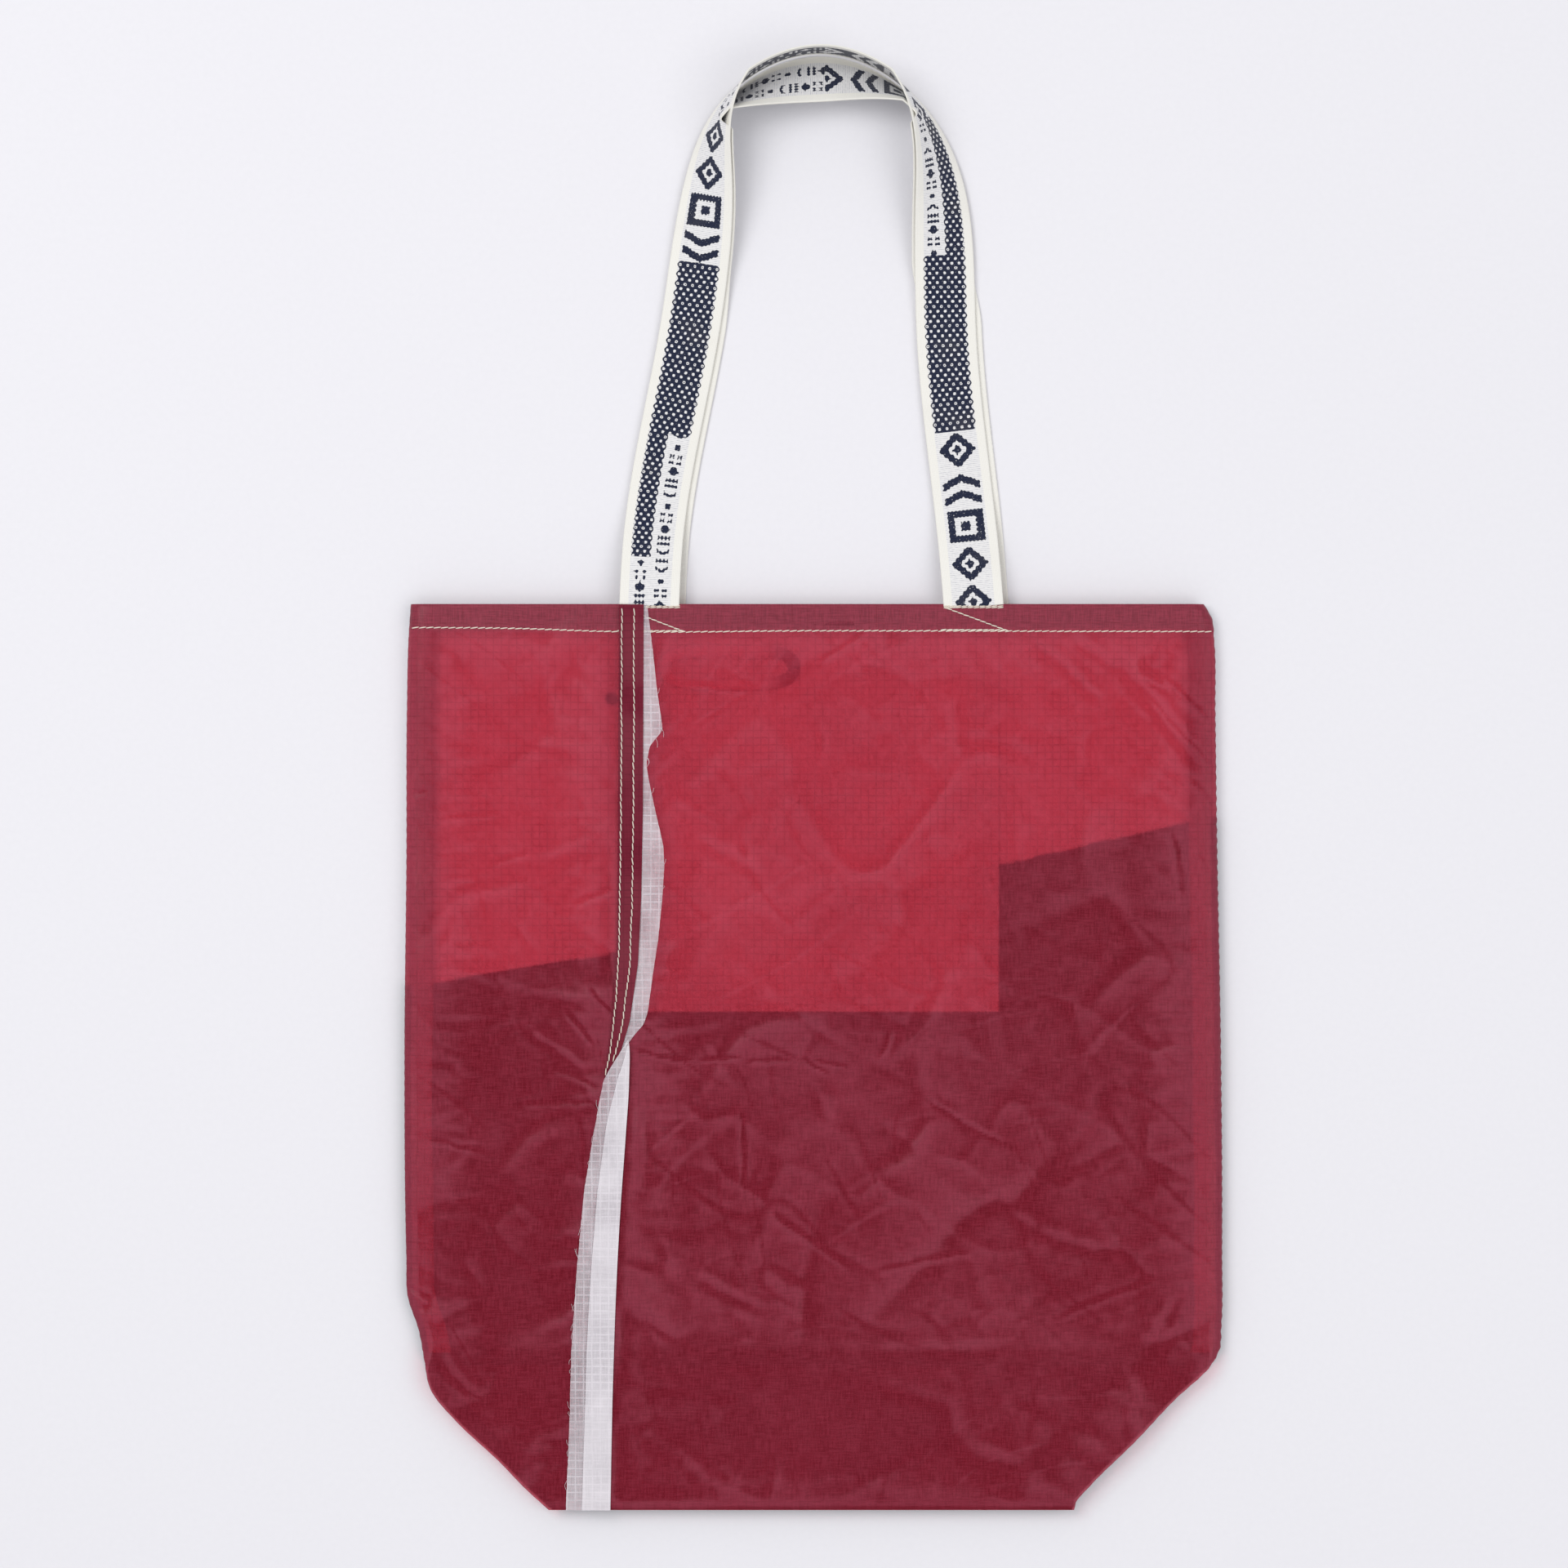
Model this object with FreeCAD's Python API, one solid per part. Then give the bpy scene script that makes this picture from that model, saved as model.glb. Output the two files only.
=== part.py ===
import FreeCAD, Part
import math
import os

# Foldable tote bag of thin ripstop, lying flat on its back with its mouth
# towards +Y and its front face up.  The base is tucked up between front and
# back, and its four corners are folded in behind the 45 degree edges.
# Lengths are millimetres.  The origin is under the middle of the whole
# object, on the surface that it lies on.

# ---- driving dimensions ----
BODY_WIDTH = 407.0          # between the side seams, flat
BODY_HEIGHT = 454.0         # from the base fold to the mouth
GUSSET_HALF = 73.0          # half the depth of the opened base
TOTAL_LENGTH = 732.0        # from the base fold to the top of the handles
BODY_THICKNESS = 11.0       # of the bag as it lies
SKIN = 0.8                  # one layer of fabric with its crinkle
FOLD_GAP = 0.5              # from a crease to the fabric beside it
LAYER_GAP = 0.4             # between two layers that lie on each other
HEM_HEIGHT = 13.0
HEM_THICKNESS = 1.2
TAPE_WIDTH = 30.0
TAPE_THICKNESS = 1.2
THREAD_WIDTH = 0.6
THREAD_PROUD = 0.3

# ---- seam on the front ----
SEAM_X_TOP = -98.0
SEAM_X_MIDDLE = -90.0
SEAM_X_BASE = -101.0
SEAM_TURN_Y = 236.0         # where the seam's fin turns over
SEAM_BAND_WIDTH = 13.5
STITCH_ROW_OFFSETS = (3.5, 9.7)
RIB_WIDTH_TOP = 8.0
RIB_WIDTH_MIDDLE = 15.0
RIB_WIDTH_BASE = 22.0

# ---- back patchwork, pocket and closure ----
BACK_JOIN_Y = 301.6         # height of the sloping join at the middle
BACK_JOIN_SLOPE = 0.2227
POCKET_LEFT = -89.5
POCKET_RIGHT = 94.0
POCKET_BOTTOM_Y = 249.5
POCKET_HEM = 12.0
POCKET_THICKNESS = 0.5
SIDE_SEAM_WIDTH = 10.5
LOOP_LEFT = -77.0
LOOP_LENGTH = 71.0
LOOP_HEIGHT = 23.0
LOOP_BOTTOM_Y = 411.0
LOOP_STRAP = 6.0
BUTTON_X = -101.0
BUTTON_Y = 407.0
BUTTON_RADIUS = 3.0
BUTTON_HEIGHT = 2.0

# ---- handles ----
HANDLE_X = 81.0             # centre of a tape end from the middle
# Outer edge of a handle as it lies: across, and above the mouth.
HANDLE_ROUTE = (
    (-96.5, 3.2), (-94.5, 36.0), (-76.5, 140.0), (-64.0, 212.0),
    (-47.5, 250.5), (4.0, 278.0), (57.0, 250.0), (76.0, 212.0),
    (82.5, 140.0), (93.0, 36.0), (96.0, 3.2),
)
TILT_START = 140.0          # above the mouth: from here the tape turns on edge
TILT_END = 265.0
TILT_POWER = 1.8
FLAT_TOP_CENTRE = 6.0       # the back handle lies down again across its top
FLAT_TOP_INNER = 26.0
FLAT_TOP_OUTER = 46.0
FLAT_TOP_TILT = 7.0
BACK_HANDLE_SHIFT = 3.0     # to the right of the front one where they lie flat
BACK_HANDLE_INSET = 3.0     # inside the front one where they stand on edge
NEST_SHARE = 0.28           # of the turn on edge, in which the shift becomes the inset
HANDLE_DROP_RUN = 60.0      # the front handle comes down to the floor over this
HANDLE_STATIONS = 48
STITCH_BOX = (29.0, 9.5)    # outline of a tape end's stitching
STITCH_DROP = 2.0           # from the mouth down to its first row

# ---- worked out ----
HALF_WIDTH = BODY_WIDTH / 2
CREASE_X = HALF_WIDTH - GUSSET_HALF
PANEL_TOP = BODY_HEIGHT - HEM_HEIGHT
FRONT_Z = BODY_THICKNESS - SKIN
HANDLE_DROP = TOTAL_LENGTH - BODY_HEIGHT
TUCK_KEEP = 0.60            # of a tucked corner, clear of the other corner
BASE_TRIM = 9.0             # off each end of the base's inner crease

os.makedirs("parts", exist_ok=True)


def export(name, shape):
    shape.translate(FreeCAD.Vector(0, -TOTAL_LENGTH / 2, 0))
    shape.exportStep("parts/" + name + ".step")


def plate(corners, z_low, thickness):
    points = [FreeCAD.Vector(x, y, z_low) for x, y in corners]
    outline = Part.makePolygon(points + points[:1])
    return Part.Face(outline).extrude(FreeCAD.Vector(0, 0, thickness))


def bar(x_low, x_high, y_low, y_high, z_low, thickness):
    corners = ((x_low, y_low), (x_high, y_low), (x_high, y_high), (x_low, y_high))
    return plate(corners, z_low, thickness)


def thread(start, end, z_low):
    """A straight row of stitches from start to end."""
    run = math.dist(start, end)
    row = Part.makeBox(run, THREAD_WIDTH, THREAD_PROUD)
    row.translate(FreeCAD.Vector(0, -THREAD_WIDTH / 2, 0))
    turn = math.degrees(math.atan2(end[1] - start[1], end[0] - start[0]))
    row.rotate(FreeCAD.Vector(0, 0, 0), FreeCAD.Vector(0, 0, 1), turn)
    row.translate(FreeCAD.Vector(start[0], start[1], z_low))
    return row


def flipped(corners, side):
    return [(side * x, y) for x, y in corners]


def seam_x(y):
    return SEAM_X_TOP + (SEAM_X_BASE - SEAM_X_TOP) * (1 - y / BODY_HEIGHT)


def back_join_y(x):
    return BACK_JOIN_Y + BACK_JOIN_SLOPE * x


# ---- front ----
def make_front_panels():
    low = 0
    half_gap = FOLD_GAP / 2
    edge = CREASE_X - FOLD_GAP
    left = (
        (-edge, low), (seam_x(low) - half_gap, low),
        (seam_x(PANEL_TOP) - half_gap, PANEL_TOP), (-edge, PANEL_TOP),
    )
    right = (
        (seam_x(low) + half_gap, low), (edge, low),
        (edge, PANEL_TOP), (seam_x(PANEL_TOP) + half_gap, PANEL_TOP),
    )
    export("front_panel_left", plate(left, FRONT_Z, SKIN))
    export("front_panel_right", plate(right, FRONT_Z, SKIN))
    hem_low = BODY_THICKNESS - HEM_THICKNESS
    hem = bar(-edge, edge, PANEL_TOP, BODY_HEIGHT, hem_low, HEM_THICKNESS)
    export("front_hem", hem)


def make_front_seam():
    top = BODY_THICKNESS
    band_right = SEAM_X_TOP + SEAM_BAND_WIDTH
    band = bar(SEAM_X_TOP, band_right, SEAM_TURN_Y, PANEL_TOP, top, SKIN)
    export("seam_allowance", band)
    rows = [
        thread((x, SEAM_TURN_Y + 1), (x, PANEL_TOP - 1), top + SKIN)
        for x in (SEAM_X_TOP + offset for offset in STITCH_ROW_OFFSETS)
    ]
    export("seam_stitches", Part.makeCompound(rows))
    rib_low = SEAM_TURN_Y + 1
    rib_left = band_right + THREAD_WIDTH
    rib = bar(rib_left, rib_left + RIB_WIDTH_TOP, rib_low, PANEL_TOP, top, SKIN)
    export("rib_strip_upper", rib)
    lower = (
        (SEAM_X_BASE, FOLD_GAP), (SEAM_X_MIDDLE, SEAM_TURN_Y - 1),
        (SEAM_X_MIDDLE - RIB_WIDTH_MIDDLE, SEAM_TURN_Y - 1), (SEAM_X_BASE - RIB_WIDTH_BASE, FOLD_GAP),
    )
    export("rib_strip_lower", plate(lower, top, SKIN))


# ---- back ----
def make_back_panels():
    low = 0
    edge = CREASE_X - FOLD_GAP
    half_gap = FOLD_GAP / 2
    lower = (
        (-edge, low), (edge, low),
        (edge, back_join_y(edge) - half_gap), (-edge, back_join_y(-edge) - half_gap),
    )
    upper = (
        (-edge, back_join_y(-edge) + half_gap), (edge, back_join_y(edge) + half_gap),
        (edge, PANEL_TOP), (-edge, PANEL_TOP),
    )
    export("back_panel_lower", plate(lower, 0, SKIN))
    export("back_panel_upper", plate(upper, 0, SKIN))
    export("back_hem", bar(-edge, edge, PANEL_TOP, BODY_HEIGHT, 0, HEM_THICKNESS))


def make_pocket():
    fold = PANEL_TOP - POCKET_HEM
    panel = bar(POCKET_LEFT, POCKET_RIGHT, POCKET_BOTTOM_Y, fold, SKIN, POCKET_THICKNESS)
    export("inner_pocket", panel)
    hem = bar(POCKET_LEFT, POCKET_RIGHT, fold, PANEL_TOP, SKIN, 2 * POCKET_THICKNESS)
    export("pocket_hem", hem)


def stadium(x_low, y_low, length, height, z_low, thickness):
    """A long plate with half-round ends."""
    radius = height / 2
    middle = bar(x_low + radius, x_low + length - radius, y_low, y_low + height, z_low, thickness)
    ends = [
        Part.makeCylinder(radius, thickness, FreeCAD.Vector(x, y_low + radius, z_low))
        for x in (x_low + radius, x_low + length - radius)
    ]
    return middle.fuse(ends).removeSplitter()


def make_closure():
    z_low = SKIN + 2 * POCKET_THICKNESS + LAYER_GAP / 2
    outer = stadium(LOOP_LEFT, LOOP_BOTTOM_Y, LOOP_LENGTH, LOOP_HEIGHT, z_low, SKIN)
    inner_length = LOOP_LENGTH - 2 * LOOP_STRAP
    inner_height = LOOP_HEIGHT - 2 * LOOP_STRAP
    inner = stadium(
        LOOP_LEFT + LOOP_STRAP, LOOP_BOTTOM_Y + LOOP_STRAP,
        inner_length, inner_height, z_low, SKIN,
    )
    export("closure_loop", outer.cut(inner))
    base = FreeCAD.Vector(BUTTON_X, BUTTON_Y, SKIN)
    export("closure_button", Part.makeCylinder(BUTTON_RADIUS, BUTTON_HEIGHT, base))


# ---- base and gusset ----
def make_base():
    outer_edge = CREASE_X - FOLD_GAP
    inner_edge = outer_edge - BASE_TRIM
    top = GUSSET_HALF - FOLD_GAP
    corners = ((-outer_edge, FOLD_GAP), (outer_edge, FOLD_GAP), (inner_edge, top), (-inner_edge, top))
    export("base_back", plate(corners, SKIN + LAYER_GAP, SKIN))
    export("base_front", plate(corners, FRONT_Z - LAYER_GAP - SKIN, SKIN))


def side_outline(low_left, low_right, high_left, high_right, side):
    """A strip of the side, from its crease to the side seam."""
    inner = CREASE_X + FOLD_GAP
    outer = HALF_WIDTH
    corners = ((inner, low_left), (outer, low_right), (outer, high_right), (inner, high_left))
    return flipped(corners, side)


def make_sides():
    low_in = 2 * FOLD_GAP
    low_out = GUSSET_HALF + FOLD_GAP
    reach = HALF_WIDTH - CREASE_X
    for word, side in (("left", -1), ("right", 1)):
        join_in = back_join_y(side * CREASE_X)
        join_out = join_in + side * BACK_JOIN_SLOPE * reach
        whole = side_outline(low_in, low_out, BODY_HEIGHT, BODY_HEIGHT, side)
        export("front_side_" + word, plate(whole, FRONT_Z, SKIN))
        lower = side_outline(
            low_in, low_out, join_in - FOLD_GAP / 2, join_out - FOLD_GAP / 2, side
        )
        export("back_side_" + word + "_lower", plate(lower, 0, SKIN))
        upper = side_outline(
            join_in + FOLD_GAP / 2, join_out + FOLD_GAP / 2, BODY_HEIGHT, BODY_HEIGHT, side
        )
        export("back_side_" + word + "_upper", plate(upper, 0, SKIN))
        seam_corners = (
            (HALF_WIDTH - SIDE_SEAM_WIDTH, low_out + 1), (HALF_WIDTH - FOLD_GAP, low_out + 1),
            (HALF_WIDTH - FOLD_GAP, PANEL_TOP), (HALF_WIDTH - SIDE_SEAM_WIDTH, PANEL_TOP),
        )
        export("side_seam_" + word, plate(flipped(seam_corners, side), SKIN, SKIN))


def make_tucks():
    """The corners of the base, each cut back from the one it would meet."""
    x_low = CREASE_X + FOLD_GAP
    y_low = 3 * FOLD_GAP
    corners = (
        (x_low, y_low),
        (x_low + GUSSET_HALF * 0.93, y_low + GUSSET_HALF * 0.93),
        (x_low, GUSSET_HALF * TUCK_KEEP),
    )
    for word, side in (("left", -1), ("right", 1)):
        outline = flipped(corners, side)
        export("back_tuck_" + word, plate(outline, SKIN + LAYER_GAP, SKIN))
        export("front_tuck_" + word, plate(outline, FRONT_Z - LAYER_GAP - SKIN, SKIN))


# ---- handles ----
def smooth(value):
    value = min(max(value, 0.0), 1.0)
    return value * value * (3 - 2 * value)


def route_points():
    """Evenly spaced points and directions along a handle's outer edge."""
    knots = [FreeCAD.Vector(x, y, 0) for x, y in HANDLE_ROUTE]
    curve = Part.BSplineCurve()
    curve.interpolate(Points=knots)
    edge = curve.toShape()
    spots = edge.discretize(Number=HANDLE_STATIONS)
    highest = max(spot.y for spot in spots)
    stations = []
    for spot in spots:
        direction = edge.tangentAt(curve.parameter(spot))
        across = FreeCAD.Vector(direction.y, -direction.x, 0).normalize()
        height = spot.y * (HANDLE_DROP - TAPE_THICKNESS) / highest
        stations.append((FreeCAD.Vector(spot.x, height, 0), across))
    return stations


def turn_share(spot):
    return min(max((spot.y - TILT_START) / (TILT_END - TILT_START), 0.0), 1.0)


def tilt_at(spot, lies_down_at_top):
    share = turn_share(spot)
    tilt = 90.0 * share ** TILT_POWER
    if lies_down_at_top:
        off_centre = abs(spot.x - FLAT_TOP_CENTRE)
        standing = smooth((off_centre - FLAT_TOP_INNER) / (FLAT_TOP_OUTER - FLAT_TOP_INNER))
        tilt = FLAT_TOP_TILT + (tilt - FLAT_TOP_TILT) * standing if share > 0 else tilt
    return math.radians(tilt)


def triangle(a, b, c):
    return Part.Face(Part.makePolygon([a, b, c, a]))


def tape_solid(sections):
    """A closed solid through four-cornered sections, its two broad faces split the same way."""
    faces = []
    for near, far in zip(sections, sections[1:]):
        for i, j in ((0, 1), (1, 2), (3, 2), (0, 3)):
            faces.append(triangle(near[i], near[j], far[j]))
            faces.append(triangle(near[i], far[j], far[i]))
    for end in (sections[0], sections[-1]):
        faces.append(Part.Face(Part.makePolygon(end + end[:1])))
    solid = Part.makeSolid(Part.makeShell(faces))
    if solid.Volume < 0:
        solid.reverse()
    return solid


def handle(is_front):
    up = FreeCAD.Vector(0, 0, 1)
    sections = []
    for spot, across in route_points():
        tilt = tilt_at(spot, not is_front)
        width_way = across * math.cos(tilt) + up * math.sin(tilt)
        face_way = up * math.cos(tilt) - across * math.sin(tilt)
        start = FreeCAD.Vector(spot.x, spot.y + BODY_HEIGHT, 0)
        if is_front:
            lying = TAPE_THICKNESS + LAYER_GAP
            falling = 1 - smooth(spot.y / HANDLE_DROP_RUN)
            start.z = lying + (BODY_THICKNESS - TAPE_THICKNESS - lying) * falling
        else:
            nested = smooth(turn_share(spot) / NEST_SHARE)
            start.x += BACK_HANDLE_SHIFT * (1 - nested)
            start += across * (BACK_HANDLE_INSET * nested)
        wide = width_way * TAPE_WIDTH
        thick = face_way * TAPE_THICKNESS
        sections.append([start, start + wide, start + wide + thick, start + thick])
    return tape_solid(sections)


def make_handles():
    export("front_handle", handle(True))
    export("back_handle", handle(False))


def tape_ends(z_low):
    half = TAPE_WIDTH / 2
    return Part.makeCompound([
        bar(x - half, x + half, PANEL_TOP + 1, BODY_HEIGHT - FOLD_GAP, z_low, TAPE_THICKNESS)
        for x in (-HANDLE_X, HANDLE_X)
    ])


def end_stitches(z_low):
    """A Z of stitches over each tape end."""
    wide, high = STITCH_BOX
    top = BODY_HEIGHT - STITCH_DROP
    rows = []
    for x in (-HANDLE_X, HANDLE_X):
        left, right = x - wide / 2, x + wide / 2
        rows.append(thread((left, top), (right, top), z_low))
        rows.append(thread((left, top - high), (right, top - high), z_low))
        inset = 2 * THREAD_WIDTH
        rows.append(thread((left + inset, top - inset), (right - inset, top - high + inset), z_low))
    return Part.makeCompound(rows)


def make_handle_ends():
    hem_low = BODY_THICKNESS - HEM_THICKNESS
    export("front_handle_ends", tape_ends(hem_low - TAPE_THICKNESS))
    export("back_handle_ends", tape_ends(HEM_THICKNESS))
    export("front_handle_stitches", end_stitches(BODY_THICKNESS))
    export("back_handle_stitches", end_stitches(HEM_THICKNESS + TAPE_THICKNESS))


def make_hem_stitches():
    y = PANEL_TOP + 1.5
    edge = CREASE_X - 2 * FOLD_GAP
    inner = HANDLE_X - TAPE_WIDTH / 2
    outer = HANDLE_X + TAPE_WIDTH / 2
    runs = ((-edge, -outer - 1), (-inner + 1, inner - 1), (outer + 1, edge))
    rows = [thread((start, y), (end, y), BODY_THICKNESS) for start, end in runs]
    export("front_hem_stitches", Part.makeCompound(rows))


make_front_panels()
make_front_seam()
make_back_panels()
make_pocket()
make_closure()
make_base()
make_sides()
make_tucks()
make_handles()
make_handle_ends()
make_hem_stitches()
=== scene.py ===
"""Foldable tote bag: cloth, tape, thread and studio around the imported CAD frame.

Everything is in metres in the CAD frame: +Z out of the front face, +Y towards the mouth.
"""
import math
import random

import bpy
import numpy as np
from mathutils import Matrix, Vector
from mathutils.bvhtree import BVHTree


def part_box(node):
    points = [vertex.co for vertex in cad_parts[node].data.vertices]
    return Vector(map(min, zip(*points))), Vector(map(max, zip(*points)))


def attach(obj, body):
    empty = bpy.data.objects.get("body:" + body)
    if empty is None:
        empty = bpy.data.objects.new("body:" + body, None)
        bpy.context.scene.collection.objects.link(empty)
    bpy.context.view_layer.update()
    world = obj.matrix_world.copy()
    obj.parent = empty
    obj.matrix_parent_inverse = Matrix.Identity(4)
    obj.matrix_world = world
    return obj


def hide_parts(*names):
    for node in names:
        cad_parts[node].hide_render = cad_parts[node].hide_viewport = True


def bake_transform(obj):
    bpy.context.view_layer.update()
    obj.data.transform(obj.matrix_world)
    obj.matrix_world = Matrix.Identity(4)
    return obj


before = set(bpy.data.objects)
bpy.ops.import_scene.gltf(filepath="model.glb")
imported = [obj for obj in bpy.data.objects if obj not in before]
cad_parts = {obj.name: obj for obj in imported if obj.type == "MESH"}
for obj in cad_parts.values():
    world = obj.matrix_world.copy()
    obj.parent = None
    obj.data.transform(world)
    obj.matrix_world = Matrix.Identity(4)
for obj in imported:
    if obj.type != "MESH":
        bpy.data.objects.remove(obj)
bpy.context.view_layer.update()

MM = 0.001

# ---- places, from the frame ----
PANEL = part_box("front_panel_right")
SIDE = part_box("front_side_right")
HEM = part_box("front_hem")
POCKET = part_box("inner_pocket")
POCKET_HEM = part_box("pocket_hem")
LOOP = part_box("closure_loop")
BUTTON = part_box("closure_button")
SEAM_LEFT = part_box("side_seam_left")
BASE_Y = PANEL[0][1]
MOUTH_Y = HEM[1][1]
HEM_Y = HEM[0][1]
TOP_Z = HEM[1][2]
MIDDLE_Z = TOP_Z / 2
HALF_WIDTH = SIDE[1][0]
CREASE_X = (PANEL[1][0] + SIDE[0][0]) / 2
GUSSET = HALF_WIDTH - CREASE_X
SKIN = PANEL[1][2] - PANEL[0][2]
FRONT_Z = TOP_Z - SKIN / 2
BACK_Z = SKIN / 2
HANDLE_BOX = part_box("front_handle")

# ---- cloth ----
CELL = 2.6 * MM                 # of the body's cloth
EDGE_ROLL = 9 * MM              # the cloth rolls down to the side seam over this
FOLD_ROLL = 1.3 * MM            # the same at the folded diagonal and base edges
HEM_FOLD = 0.9 * MM
CALM_EDGE = 36 * MM             # the buckling fades out this close to seams and edges
FOLD_STRENGTH = 0.75            # share of the heights in FRONT_FOLDS
SIM_GROWTH = 0.008              # how much the cloth is longer than its outline
SIM_FRAMES = 26
CAP = 2.6 * MM                  # most that the simulation may move a point
SCALLOP = 0.30 * MM             # how far the side seam's stitches pull its edge in
SCALLOP_PITCH = 5.3 * MM

# ---- ripstop ----
GRID_PITCH = 3.84 * MM
RIB_PITCH = 4.2 * MM
BLUR = 0.92                     # roughness of what shows through, and its refraction
BLUR_IOR = 1.1
DOUBLED = 0.30                  # how much of what is behind still shows where cloth is doubled
DOUBLED_TONE = 0.52             # and how dark its own colour is there


def smooth(value):
    value = np.clip(value, 0.0, 1.0)
    return value * value * (3 - 2 * value)


def spline(x, knots):
    """A smooth curve through knots = ((x, value), ...), for an array x."""
    xs = np.array([k[0] for k in knots], float)
    ys = np.array([k[1] for k in knots], float)
    if xs[0] > xs[-1]:
        xs, ys = xs[::-1], ys[::-1]
    slopes = np.gradient(ys, xs)
    i = np.clip(np.searchsorted(xs, x) - 1, 0, len(xs) - 2)
    h = xs[i + 1] - xs[i]
    t = np.clip((x - xs[i]) / h, 0, 1)
    return (
        (2 * t**3 - 3 * t**2 + 1) * ys[i]
        + (t**3 - 2 * t**2 + t) * h * slopes[i]
        + (3 * t**2 - 2 * t**3) * ys[i + 1]
        + (t**3 - t**2) * h * slopes[i + 1]
    )


def up(height_mm):
    """A height above the base fold, in millimetres, as a place along Y."""
    return BASE_Y + height_mm * MM


# ---- relief of crumpled cloth ----
def noise(x, y, size, seed):
    """Smooth noise from -1 to 1 whose features are about size metres wide."""
    table = np.random.default_rng(seed).uniform(-1, 1, (97, 97))
    px, py = x / size + 40.5, y / size + 40.5
    ix, iy = np.floor(px).astype(int), np.floor(py).astype(int)
    fx, fy = smooth(px - ix), smooth(py - iy)
    a, b = table[ix % 97, iy % 97], table[(ix + 1) % 97, iy % 97]
    c, d = table[ix % 97, (iy + 1) % 97], table[(ix + 1) % 97, (iy + 1) % 97]
    return (a * (1 - fx) + b * fx) * (1 - fy) + (c * (1 - fx) + d * fx) * fy


def facets(x, y, size, angle, slope, seed):
    """Crumpled cloth as tilted facets about size wide, in metres: height, and a tone from 0 to 1."""
    turn = math.radians(angle)
    u = (x * math.cos(turn) + y * math.sin(turn)) / (1.7 * size) + 60
    v = (y * math.cos(turn) - x * math.sin(turn)) / size + 60
    u = u + 0.22 * noise(x, y, 1.3 * size, seed + 3)
    v = v + 0.22 * noise(x, y, 1.3 * size, seed + 4)
    table = np.random.default_rng(seed).uniform(-1, 1, (128, 128, 6))
    iu, iv = np.floor(u).astype(int), np.floor(v).astype(int)
    total, height, tone = 0.0, 0.0, 0.0
    for du in (-1, 0, 1):
        for dv in (-1, 0, 1):
            cell = table[(iu + du) % 128, (iv + dv) % 128]
            away_u = u - (iu + du + 0.5 + 0.42 * cell[..., 0])
            away_v = v - (iv + dv + 0.5 + 0.42 * cell[..., 1])
            weight = np.exp(-(away_u**2 + away_v**2) / 0.075)
            total = total + weight
            tilt = (cell[..., 2] * away_u * 1.7 + cell[..., 3] * away_v) * size * slope
            height = height + weight * (tilt + cell[..., 4] * size * slope * 0.3)
            tone = tone + weight * (0.5 + 0.5 * cell[..., 5])
    return height / total, tone / total


def creases(x, y, size, angle, seed, sharp=9.0):
    """Thin ridges from 0 to 1 that wander across the cloth at an angle."""
    turn = math.radians(angle)
    along = x * math.cos(turn) + y * math.sin(turn)
    across = y * math.cos(turn) - x * math.sin(turn)
    bend = noise(along, across, 2.6 * size, seed + 1) * size * 0.5
    field = noise(along * 0.24, across + bend, size, seed)
    patchy = smooth(0.1 + 1.6 * noise(x, y, 1.5 * size, seed + 2))
    return np.clip(1 - np.abs(field) * sharp, 0, 1) ** 1.5 * patchy


def folds(x, y, lines):
    """Chosen creases: (x, y, x, y, height, width) in millimetres, y above the base fold."""
    total = np.zeros_like(x)
    for x0, y0, x1, y1, height, width in lines:
        ax, ay = x0 * MM, up(y0)
        dx, dy = (x1 - x0) * MM, (y1 - y0) * MM
        length2 = dx * dx + dy * dy
        t = ((x - ax) * dx + (y - ay) * dy) / length2
        away = ((x - ax) * dy - (y - ay) * dx) / math.sqrt(length2)
        away = away + 1.3 * MM * noise(x, y, 16 * MM, 5) + 0.6 * MM * noise(x, y, 5 * MM, 6)
        fade = smooth(t / 0.25) * smooth((1 - t) / 0.25) * (0.75 + 0.35 * noise(x, y, 9 * MM, 7))
        w = width * MM
        profile = np.exp(-((away / w) ** 2)) - 0.45 * np.exp(-(((away - 1.6 * w) / w) ** 2))
        total += FOLD_STRENGTH * height * MM * profile * fade
    return total


def crumpled(x, y):
    """How crumpled the cloth is: little above, more below, most beside the fin and at the left."""
    height = (y - BASE_Y) / MM
    below = smooth((330 - height) / 130)
    beside = np.exp(-(((x - seam_x(y)) / (38 * MM)) ** 2)) * smooth((300 - height) / 60)
    corner = np.exp(-(((x + 0.19) / 0.05) ** 2 + ((height - 110) / 60) ** 2))
    return 0.34 + 0.30 * below + 0.30 * beside + 0.25 * corner


def relief(x, y, seed, strength=1.0):
    """Height of crumpled ripstop over its middle surface: its large waves and facets."""
    slow = 0.7 * noise(x, y, 95 * MM, seed) + 0.4 * noise(x, y, 48 * MM, seed + 1)
    large, _ = facets(x, y, 46 * MM, 38, 0.060, seed + 10)
    return strength * (slow * MM + large * crumpled(x, y))


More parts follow.
